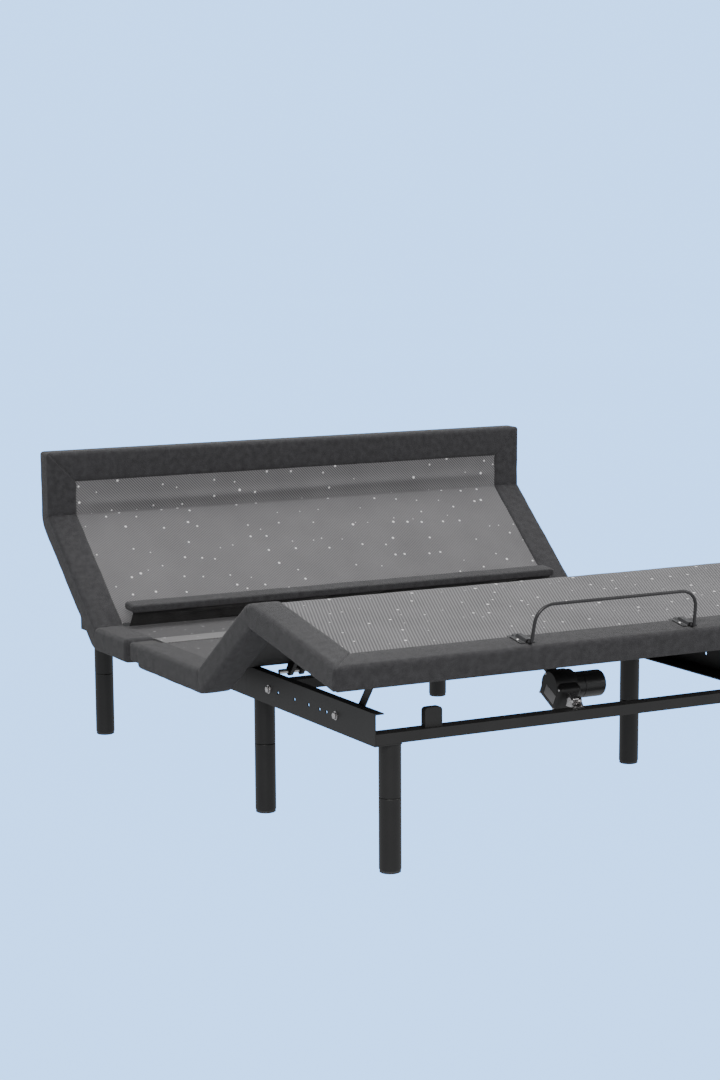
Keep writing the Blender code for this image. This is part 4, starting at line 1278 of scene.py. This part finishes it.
@dataclass(frozen=True)
class LumbarBar:
    """The padded bar that lifts out of the back, with a pleated skirt below it."""

    tilt: float = math.radians(4.0)
    depth: float = 62.0 * MM
    thickness: float = 21.0 * MM
    end_radius: float = 9.0 * MM
    sweep: float = 0.46
    folds: float = 1.7
    fold_depth: float = 9.0 * MM
    foot_ahead: float = 9.5 * MM
    foot_above: float = 24.3 * MM

    def pad(self, looks: Finishes) -> None:
        """Makes the padded bar.

        Args:
            looks: the finishes.
        """
        low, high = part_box("lumbar_board")
        centre = np.array((low + high) / 2.0)
        half = (high.x - low.x) / 2.0
        bend = np.linspace(0.0, math.pi / 2.0, 12)
        ends = -half + self.end_radius * (1.0 - np.cos(bend))
        rows = np.concatenate(
            [ends, np.linspace(-half + self.end_radius, half - self.end_radius, 90)[1:-1], -ends[::-1]]
        )
        outside = np.clip((np.abs(rows) - (half - self.end_radius)) / self.end_radius, 0.0, 1.0)
        narrow = np.sqrt(np.maximum(1.0 - outside**2, 0.0))
        angle = np.linspace(0.0, TURN, 48, endpoint=False)
        along = np.sign(np.cos(angle)) * np.abs(np.cos(angle)) ** 0.28
        upward = np.sign(np.sin(angle)) * np.abs(np.sin(angle)) ** 0.34
        full = self.depth / 2.0 - self.end_radius * (1.0 - narrow)
        thin = self.thickness / 2.0 * (0.3 + 0.7 * narrow) + 0.5 * MM * softened(rows, rows, 0.31)
        flat_y = along[None, :] * full[:, None]
        flat_z = upward[None, :] * thin[:, None]
        cosine, sine = math.cos(self.tilt), math.sin(self.tilt)
        points = np.stack([
            rows[:, None] * np.ones_like(flat_y),
            centre[1] + flat_y * cosine - flat_z * sine,
            centre[2] + flat_y * sine + flat_z * cosine,
        ], axis=-1)
        around = np.linspace(0.0, 2.0 * (self.depth + self.thickness), 49)
        texture = np.stack(np.broadcast_arrays(around[None, :], rows[:, None]), axis=-1)
        bar = build_object("lumbar_pad", [Grid(points, texture, True, True, True)], looks.heather)
        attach(bar, "lumbar")
        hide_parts("lumbar_board")

    def skirt(self, looks: Finishes) -> None:
        """Makes the pleated skirt.

        Args:
            looks: the finishes.
        """
        low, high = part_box("lumbar_curtain")
        half = (high.x - low.x) / 2.0
        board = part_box("lumbar_board")
        node = frame["nodes"]["lumbar_curtain"]
        corners = np.array([vertex.co for vertex in node.data.vertices])
        bottom = corners[corners[:, 2] < low.z + 4.0 * MM].mean(axis=0)
        top = corners[corners[:, 2] > high.z - 4.0 * MM].mean(axis=0)
        top[2] = board[0].z + 7.0 * MM
        hinge_y, hinge_z = Deck().hinge("back_hinge")
        bottom[1], bottom[2] = hinge_y - self.foot_ahead, hinge_z + self.foot_above
        down = bottom[1:] - top[1:]
        length = float(np.linalg.norm(down))
        outward = np.array([down[1], -down[0]]) / length
        if outward[0] > 0.0:
            outward = -outward
        rows = np.linspace(0.0, 1.0, 40)
        line = np.linspace(-half, half, 521)
        x = np.concatenate([line, line[::-1]])[None, :] * np.ones((len(rows), 1))
        share = rows[:, None] * np.ones_like(x)
        wander = 0.20 * np.sin(TURN * x / 0.71 + 0.6)
        phase = self.folds * (share + (x + half) / self.sweep + wander) - 0.55
        saw = phase - np.floor(phase)
        fold = np.where(saw < 0.68, saw / 0.68, (1.0 - saw) / 0.32)
        fold = fold**1.6
        settled = np.clip((x + half - 0.05 - 0.16 * share) / 0.12, 0.0, 1.0)
        pinch = (0.25 + 0.75 * np.sin(math.pi * np.clip(share * 0.9 + 0.1, 0.0, 1.0)) ** 0.6) * settled
        edge = np.clip((half - np.abs(x)) / 0.006, 0.0, 1.0)
        front = np.concatenate([np.ones_like(line), np.zeros_like(line)])[None, :]
        out = self.fold_depth * (1.0 - 0.6 * share) * fold * pinch * edge + 0.5 * MM * front
        out = out + 3.0 * MM * np.sin(math.pi * share)
        flat = top[1:] + share[..., None] * down + out[..., None] * outward
        points = np.concatenate([x[..., None], flat], axis=-1)
        closed = np.append(line, [*line[::-1], line[0]])
        texture = np.stack(np.broadcast_arrays(closed[None, :], (rows * length)[:, None]), axis=-1)
        made = build_object("lumbar_skirt", [Grid(points, texture, True, True, True)], looks.satin)
        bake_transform(made)
        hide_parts("lumbar_curtain")

    def build(self, looks: Finishes) -> None:
        """Makes the bar and its skirt.

        Args:
            looks: the finishes.
        """
        self.pad(looks)
        self.skirt(looks)


# ---------------------------------------------------------------- metalwork


@dataclass(frozen=True)
class HexBolt:
    """A hexagon-headed bolt on a washer."""

    head: float = 8.5 * MM
    height: float = 5.5 * MM
    washer: float = 10.5 * MM

    def grids(self, place: np.ndarray, axis: np.ndarray) -> list[Grid]:
        """Returns the bolt's patches.

        Args:
            place: the point where the washer sits.
            axis: the way that the head points.
        """
        rim = 1.4 * MM
        washer = turned([(0.2 * MM, 0.0), (self.washer, 0.0), (self.washer, rim), (0.2 * MM, rim)], 28)
        top = self.height + rim
        chamfer = [(self.head * 0.9, top - 0.2 * MM), (self.head * 0.78, top), (0.2 * MM, top)]
        head = turned([(0.2 * MM, rim), (self.head, rim), (self.head, top - 1.3 * MM), *chamfer], 6)
        return [aimed(washer, place, axis), aimed(head, place, axis)]


@dataclass(frozen=True)
class Leg:
    """One two-part turned leg."""

    upper: str
    lower: str
    glide: float = 7.0 * MM

    def build(self, looks: Finishes) -> None:
        """Makes both parts.

        Args:
            looks: the finishes.
        """
        joint = (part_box(self.lower)[1].z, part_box(self.upper)[0].z)
        for node in (self.upper, self.lower):
            low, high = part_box(node)
            radius = (high.x - low.x) / 2.0
            base = low.z + self.glide if node == self.lower else max(joint) + 0.3 * MM
            soft = 1.6 * MM
            outline = [
                (0.3 * MM, base), (radius - soft, base), (radius - 0.5 * MM, base + 0.4 * MM),
                (radius, base + soft), (radius, base + 2.0 * soft), (radius, high.z - 2.0 * soft),
                (radius, high.z - soft), (radius - 0.5 * MM, high.z - 0.4 * MM),
                (radius - soft, high.z), (0.3 * MM, high.z),
            ]
            place = np.array([(low.x + high.x) / 2.0, (low.y + high.y) / 2.0, 0.0])
            made = build_object(
                f"turned_{node}", [aimed(turned(outline, 48), place, np.array([0, 0, 1.0]))], looks.leg
            )
            crease(made, 50.0)
            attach(made, "root")
            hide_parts(node)
            if node == self.lower:
                foot = [
                    (0.3 * MM, low.z), (radius - 3.0 * MM, low.z), (radius - 1.2 * MM, low.z + 1.2 * MM),
                    (radius - 1.2 * MM, base), (0.3 * MM, base),
                ]
                pad = build_object(
                    f"glide_{node}", [aimed(turned(foot, 48), place, np.array([0, 0, 1.0]))], looks.glide
                )
                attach(crease(pad), "root")


class Metalwork:
    """Legs, bolts through the foot rails, the foot drive and the retainer wire."""

    bolt_places = (-286.0 * MM, -636.0 * MM)

    def __init__(self, looks: Finishes, foot: Route, deck: Deck) -> None:
        """Keeps what the metalwork is made from.

        Args:
            looks: the finishes.
            foot: the route to the foot end.
            deck: the deck's levels.
        """
        self.looks = looks
        self.foot = foot
        self.deck = deck

    def legs(self) -> None:
        """Makes the six legs."""
        for end in ("foot", "middle", "head"):
            for side in Side:
                place = f"{end}_{side.name.lower()}"
                Leg(f"leg_upper_{place}", f"leg_lower_{place}").build(self.looks)

    def bolts(self) -> None:
        """Makes the bolts through the foot rails."""
        bolt = HexBolt()
        for side in Side:
            name = side.name.lower()
            low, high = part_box(f"foot_rail_{name}")
            face = low.x if side is Side.LEFT else high.x
            middle = (low.z + high.z) / 2.0
            for number, y in enumerate(self.bolt_places):
                grids = bolt.grids(np.array([face, y, middle]), np.array([float(side.value), 0.0, 0.0]))
                made = build_object(f"rail_bolt_{name}_{number}", grids, self.looks.bright, False)
                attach(made, "root")

    def build(self) -> None:
        """Makes all of the metalwork."""
        self.legs()
        self.bolts()
        Retainer(self.foot, self.deck).build(self.looks)
        FootDrive().build(self.looks)


@dataclass(frozen=True)
class Retainer:
    """The mattress retainer's wire loop and the two kinked plates that clamp it."""

    foot: Route
    deck: Deck
    radius: float = 4.0 * MM
    bend: float = 42.0 * MM
    heel: float = 9.0 * MM
    lean: float = 5.0 * MM
    height: float = 100.0 * MM
    edge: float = 9.0 * MM
    sole: float = 52.0 * MM
    ease: float = 0.5 * MM
    plate_lead: float = 24.0 * MM
    plate_length: float = 62.0 * MM
    plate_half: float = 21.0 * MM
    plate_thick: float = 2.6 * MM
    plate_ease: float = 0.6 * MM
    corner: float = 4.0 * MM
    dip_from: float = 22.0 * MM
    dip_run: float = 12.0 * MM
    screw_place: float = 40.0 * MM
    screw_half: float = 14.5 * MM

    def wire(self, looks: Finishes, left: float, right: float, near: float) -> None:
        """Makes the wire loop.

        Args:
            looks: the finishes.
            left: x of the left foot.
            right: x of the right foot.
            near: where its feet start along the route.
        """
        route, bend, heel = self.foot, self.bend, self.heel
        far = near + self.sole
        floor = self.deck.high + self.radius + self.ease
        top = self.deck.high + self.height - self.radius
        quarter = np.linspace(0.0, math.pi / 2.0, 11)
        sole = np.linspace(near, far - heel, 5)[:-1]
        up = np.linspace(floor + heel, top - bend, 7)[1:-1]
        foot_s = np.concatenate(
            [sole, far - heel + heel * np.sin(quarter), np.full(up.size + quarter.size, far)]
        )
        foot_h = np.concatenate([
            np.full(sole.shape, floor), floor + heel * (1.0 - np.cos(quarter)), up,
            top - bend + bend * np.sin(quarter),
        ])
        rise = np.clip((foot_h - floor) / (top - floor), 0.0, 1.0)
        foot_x = left + self.lean * rise
        foot_x[-quarter.size:] += bend * (1.0 - np.cos(quarter))
        span = np.linspace(foot_x[-1], left + right - foot_x[-1], 26)[1:-1]
        x = np.concatenate([foot_x, span, left + right - foot_x[::-1]])
        h = np.concatenate([foot_h, np.full(span.shape, top), foot_h[::-1]])
        distance = np.concatenate([foot_s, np.full(span.shape, far), foot_s[::-1]])
        line = route.carry(distance, x, h)
        wire = build_object("retainer_wire", [along_line(line, self.radius, 20)], looks.wire)
        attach(wire, "calf")
        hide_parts("retainer_bar")

    def plate(self, looks: Finishes, side: Side, centre: float, start: float) -> None:
        """Makes one kinked plate that clamps the wire, with its screws.

        Args:
            looks: the finishes.
            side: which side of the bed.
            centre: x of the wire under it.
            start: where it starts along the route.
        """
        length, half, thick, wire = self.plate_length, self.plate_half, self.plate_thick, self.radius
        base = self.deck.high + self.plate_ease
        rows = np.linspace(0.0, length, 33)
        line = np.linspace(-half, half, 43)
        soft = self.corner
        x = np.concatenate([line, line[::-1]])[None, :] * np.ones((rows.size, 1))
        run = rows[:, None] * np.ones_like(x)
        top = np.concatenate([np.ones_like(line), np.zeros_like(line)])[None, :]
        hump = np.clip((2.4 * wire - np.abs(x)) / (1.2 * wire), 0.0, 1.0)
        hump = hump * hump * (3.0 - 2.0 * hump)
        dip = np.clip((self.dip_from - run) / self.dip_run, 0.0, 1.0)
        dip = dip * dip * (3.0 - 2.0 * dip) * (self.deck.high - self.deck.net_high - 1.0 * MM)
        height = base + 2.0 * wire * hump * (1.0 - 0.6 * dip / dip.max()) - dip + thick * top
        corner = np.clip(soft - np.minimum(run, length - run), 0.0, soft)
        x = x * (1.0 - (soft - np.sqrt(soft**2 - corner**2)) / half)
        points = self.foot.carry(start + run, centre + x, height)
        closed = np.append(line, [*line[::-1], line[0]])
        texture = np.stack(np.broadcast_arrays(closed[None, :], rows[:, None]), axis=-1)
        name = side.name.lower()
        made = build_object(
            f"retainer_clamp_{name}", [Grid(points, texture, True, True, True)], looks.wire
        )
        crease(made, 50.0)
        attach(made, "calf")
        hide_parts(f"retainer_plate_{name}")
        screws = []
        for across in (-self.screw_half, self.screw_half):
            place = self.foot.carry(
                np.array([start + self.screw_place]), np.array([centre + across]), np.array([base + thick])
            )
            dome = turned(
                [(3.6 * MM, 0.0), (3.3 * MM, 1.2 * MM), (2.0 * MM, 2.0 * MM), (0.2 * MM, 2.2 * MM)], 20
            )
            screws.append(aimed(dome, place[0], self.foot.up(start + self.screw_place)))
        screw = build_object(f"retainer_screws_{name}", screws, looks.bright)
        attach(crease(screw), "calf")

    def build(self, looks: Finishes) -> None:
        """Makes the wire and both plates.

        Args:
            looks: the finishes.
        """
        low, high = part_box("retainer_bar")
        left, right = low.x + self.radius, high.x - self.radius
        near = self.foot.total - self.edge - self.sole
        self.wire(looks, left, right, near)
        for side, centre in ((Side.LEFT, left), (Side.RIGHT, right)):
            self.plate(looks, side, centre, near - self.plate_lead)


@dataclass(frozen=True)
class FootDrive:
    """The foot drive's gearbox, motor, tube and rod end, measured from its pivot along its rod."""

    place: float = -40.0 * MM
    body: tuple[float, float, float] = (60.0 * MM, 86.0 * MM, 72.0 * MM)
    body_round: float = 11.0 * MM
    body_along: float = 63.0 * MM
    body_below: float = 16.0 * MM
    crown_radius: float = 36.5 * MM
    crown_half: float = 30.5 * MM
    crown_along: float = 70.0 * MM
    shaft_below: float = 6.0 * MM
    label: tuple[float, float, float] = (1.2 * MM, 46.0 * MM, 26.0 * MM)
    tube_radius: float = 13.0 * MM
    tube_end: float = 250.0 * MM
    collar_radius: float = 15.5 * MM
    motor_radius: float = 32.0 * MM
    motor_end: float = 110.0 * MM
    tab: tuple[float, float, float] = (18.0 * MM, 34.0 * MM, 20.0 * MM)

    def crown(self) -> Grid:
        """Returns the rounded crown of the gearbox, about the motor's shaft."""
        half, radius, soft = self.crown_half, self.crown_radius, 3.0 * MM
        side = [(0.3 * MM, -half), (radius - 2.5 * MM, -half), (radius, soft - half)]
        other = [(radius, half - soft), (radius - 2.5 * MM, half), (0.3 * MM, half)]
        return turned(side + other, 56)

    def motor(self) -> Grid:
        """Returns the motor's shell with its seam and its rounded end."""
        radius, end = self.motor_radius, self.motor_end
        seam = [
            (radius, 48.0 * MM), (radius - 1.0 * MM, 48.6 * MM),
            (radius - 1.0 * MM, 50.4 * MM), (radius, 51.0 * MM),
        ]
        cap = [
            (radius, end - 9.0 * MM), (radius - 0.4 * MM, end - 5.0 * MM),
            (radius - 2.2 * MM, end - 2.0 * MM), (radius - 5.5 * MM, end - 0.5 * MM),
            (radius - 10.0 * MM, end), (0.3 * MM, end),
        ]
        return turned([(0.3 * MM, 20.0 * MM), (radius, 20.0 * MM), *seam, *cap], 48)

    def tube(self) -> Grid:
        """Returns the outer tube with its collar."""
        radius, end, collar = self.tube_radius, self.tube_end, self.collar_radius
        ring = [
            (radius, 190.0 * MM), (collar, 192.0 * MM), (collar, 204.0 * MM), (radius, 206.0 * MM),
        ]
        mouth = [(radius, end - 4.0 * MM), (radius - 1.0 * MM, end), (0.3 * MM, end)]
        return turned([(0.3 * MM, 104.0 * MM), (radius, 104.0 * MM), *ring, *mouth], 40)

    def build(self, looks: Finishes) -> None:
        """Makes every piece of the drive.

        Args:
            looks: the finishes.
        """
        joints = {joint["name"]: joint for joint in frame["joints"]}
        axis = np.array(joints["foot_rod_slide"]["axis"], float)
        pivot = np.array(joints["foot_actuator_hinge"]["pos_m"], float)
        across = np.array([1.0, 0.0, 0.0])
        pivot[0] = self.place
        up = np.cross(across, axis)

        def placed(x: float, y: float, z: float) -> np.ndarray:
            """Returns a point given along the drive.

            Args:
                x: across.
                y: along the rod.
                z: above the rod.
            """
            return pivot + x * across + y * axis + z * up

        def blocks(size: tuple, radius: float, steps: int, centre: np.ndarray) -> list[Grid]:
            """Returns a rounded block that lies along the drive.

            Args:
                size: its three sides.
                radius: how far its edges are rounded.
                steps: how finely they are rounded.
                centre: its middle.
            """
            return [aimed(grid, centre, up, across) for grid in rounded_block(size, radius, steps)]

        middle = placed(0.0, self.body_along, -self.body_below)
        gearbox = build_object("drive_gearbox", blocks(self.body, self.body_round, 5, middle), looks.plastic)
        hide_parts("foot_actuator_gearbox")
        face = placed(-self.body[0] / 2.0 - 0.2 * MM, 58.0 * MM, -22.0 * MM)
        plate = build_object("drive_label_plate", blocks(self.label, 0.55 * MM, 3, face), looks.label)
        tube = build_object("drive_tube", [aimed(self.tube(), pivot, axis)], looks.plastic)
        tab = build_object(
            "drive_tab", blocks(self.tab, 4.0 * MM, 5, placed(0.0, 12.0 * MM, 0.0)), looks.bright
        )
        crown_place = placed(0.0, self.crown_along, -self.shaft_below)
        dome = build_object("drive_crown", [aimed(self.crown(), crown_place, across, axis)], looks.plastic)
        motor_place = placed(0.0, self.body_along, -self.shaft_below)
        motor = build_object("drive_motor", [aimed(self.motor(), motor_place, across, axis)], looks.motor)
        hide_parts("foot_actuator_motor")
        screws = []
        for y in (30.0 * MM, 96.0 * MM):
            for z in (-44.0 * MM, 12.0 * MM):
                head = turned(
                    [(0.2 * MM, 0.0), (3.2 * MM, 0.0), (3.0 * MM, 1.4 * MM), (0.2 * MM, 1.7 * MM)], 20
                )
                screws.append(aimed(head, placed(0.2 * MM - self.body[0] / 2.0, y, z), -across))
        screw = build_object("drive_screws", screws, looks.bright)
        for piece in (gearbox, plate, tube, tab, motor, screw, dome):
            crease(piece, 40.0)
            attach(piece, "foot_actuator")


class Dressing:
    """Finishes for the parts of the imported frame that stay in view."""

    def __init__(self, looks: Finishes) -> None:
        """Keeps the finishes.

        Args:
            looks: the finishes.
        """
        self.looks = looks

    def build(self) -> None:
        """Gives every node its finish by the kind of part it is."""
        looks = self.looks
        kinds = [
            # the boards get the net darkened as painted shade
            ("_board", looks.under_net_painted_shade), ("border", looks.heather), ("curtain", looks.satin),
            ("leg_", looks.leg),
            ("rail", looks.rail), ("crossbar", looks.rail), ("clevis", looks.bright),
            ("retainer_plate", looks.wire),
            ("retainer_bar", looks.wire), ("motor", looks.motor), ("actuator_rod", looks.bright),
            ("hinge_rod", looks.bright), ("lumbar_rod", looks.bright), ("actuator", looks.plastic),
            ("control_box", looks.plastic), ("link", looks.rail), ("lever", looks.rail),
            ("bracket", looks.rail),
        ]
        for name, node in frame["nodes"].items():
            material = next((finish for word, finish in kinds if word in name), looks.rail)
            node.data.materials.clear()
            node.data.materials.append(material)


# ---------------------------------------------------------------- studio


@dataclass(frozen=True)
class Studio:
    """The floor, light and camera."""

    azimuth: float = -29.653
    elevation: float = 10.316
    lens: float = 127.65
    location: tuple[float, float, float] = (-3.2446, -5.7368, 1.5655)
    shift: tuple[float, float] = (-0.1013, 0.1367)
    sky: tuple[float, float, float] = (0.30, 0.60, 1.15)
    sky_strength: float = 2.9

    def floor(self) -> None:
        """Makes the pale floor, and a pale backdrop that only the camera sees."""
        shader = Shader("studio_pale")
        tone = shader.grain(shader.place(Mapping.OBJECT), 3.0, 1.0)
        low, high = (0.97 * value for value in self.sky), (1.0 * value for value in self.sky)
        glow = shader.blend(tone, (*low, 1.0), (*high, 1.0))
        material = shader.finish({
            "Base Color": (0.02, 0.02, 0.02, 1.0), "Roughness": 1.0, "Specular IOR Level": 0.0,
            "Emission Color": glow, "Emission Strength": self.sky_strength,
        })
        line = np.linspace(-40.0, 40.0, 3)
        x, y = np.meshgrid(line, line, indexing="ij")
        points = np.stack([x, y, np.full_like(x, -0.0005)], axis=-1)
        floor = build_object("studio_floor", [Grid(points, np.stack([x, y], axis=-1))], material)
        if floor.data.polygons[0].normal.z < 0.0:
            floor.data.flip_normals()
        dome = [
            (0.01, 39.0), *((39.0 * math.sin(a), 39.0 * math.cos(a)) for a in np.linspace(0.1, 3.0, 24)),
            (0.01, -39.0)
        ]
        backdrop = build_object("studio_backdrop", [turned(dome, 48)], material)
        backdrop.data.flip_normals()
        for piece in (floor, backdrop):
            piece.visible_diffuse = piece.visible_glossy = piece.visible_shadow = False

    def light(
        self, name: str, place: tuple, size: float, power: float, colour: tuple, aim: tuple = (0, 0, 0.4),
    ) -> None:
        """Makes one soft lamp.

        Args:
            name: its name.
            place: where it is.
            size: how wide it is.
            power: how bright it is, in watts.
            colour: its colour.
            aim: the point that it faces.
        """
        lamp = bpy.data.lights.new(name, "AREA")
        lamp.shape, lamp.size, lamp.energy, lamp.color = "DISK", size, power, colour
        made = bpy.data.objects.new(name, lamp)
        made.location = place
        made.rotation_mode = "QUATERNION"
        made.rotation_quaternion = (Vector(aim) - Vector(place)).to_track_quat("-Z", "Y")
        bpy.context.scene.collection.objects.link(made)

    def camera(self) -> None:
        """Makes the camera."""
        azimuth, elevation = math.radians(self.azimuth), math.radians(self.elevation)
        back = Vector((
            math.sin(azimuth) * math.cos(elevation),
            -math.cos(azimuth) * math.cos(elevation),
            math.sin(elevation),
        ))
        lens = bpy.data.cameras.new("camera")
        lens.sensor_fit, lens.sensor_width, lens.lens = "HORIZONTAL", 36.0, self.lens
        lens.shift_x, lens.shift_y = self.shift
        lens.clip_start, lens.clip_end = 0.1, 100.0
        made = bpy.data.objects.new("camera", lens)
        made.location = self.location
        made.rotation_mode = "QUATERNION"
        made.rotation_quaternion = (-back).to_track_quat("-Z", "Y")
        bpy.context.scene.collection.objects.link(made)
        bpy.context.scene.camera = made

    def build(self) -> None:
        """Makes the studio."""
        self.floor()
        world = bpy.data.worlds.new("studio_world")
        world.use_nodes = True
        background = world.node_tree.nodes["Background"]
        background.inputs["Color"].default_value = (0.95, 0.97, 1.0, 1.0)
        background.inputs["Strength"].default_value = 0.62
        bpy.context.scene.world = world
        self.light("key", (-2.6, -4.6, 3.4), 3.0, 170.0, (1.0, 0.98, 0.95))
        self.light("fill", (3.6, -3.0, 2.6), 3.0, 50.0, (1.0, 0.98, 0.96))
        self.light("top", (0.4, 0.8, 4.6), 2.8, 110.0, (1.0, 0.99, 0.97))
        self.camera()


def main() -> None:
    """Builds the whole scene."""
    looks, deck = Finishes(), Deck()
    head, foot = deck.head_route(), deck.foot_route()
    Dressing(looks).build()
    BorderCloth(deck, looks).build(head, foot)
    SprungNet(deck, looks).build(head, foot)
    LumbarBar().build(looks)
    Metalwork(looks, foot, deck).build()
    Studio().build()


if __name__ == "__main__":
    main()
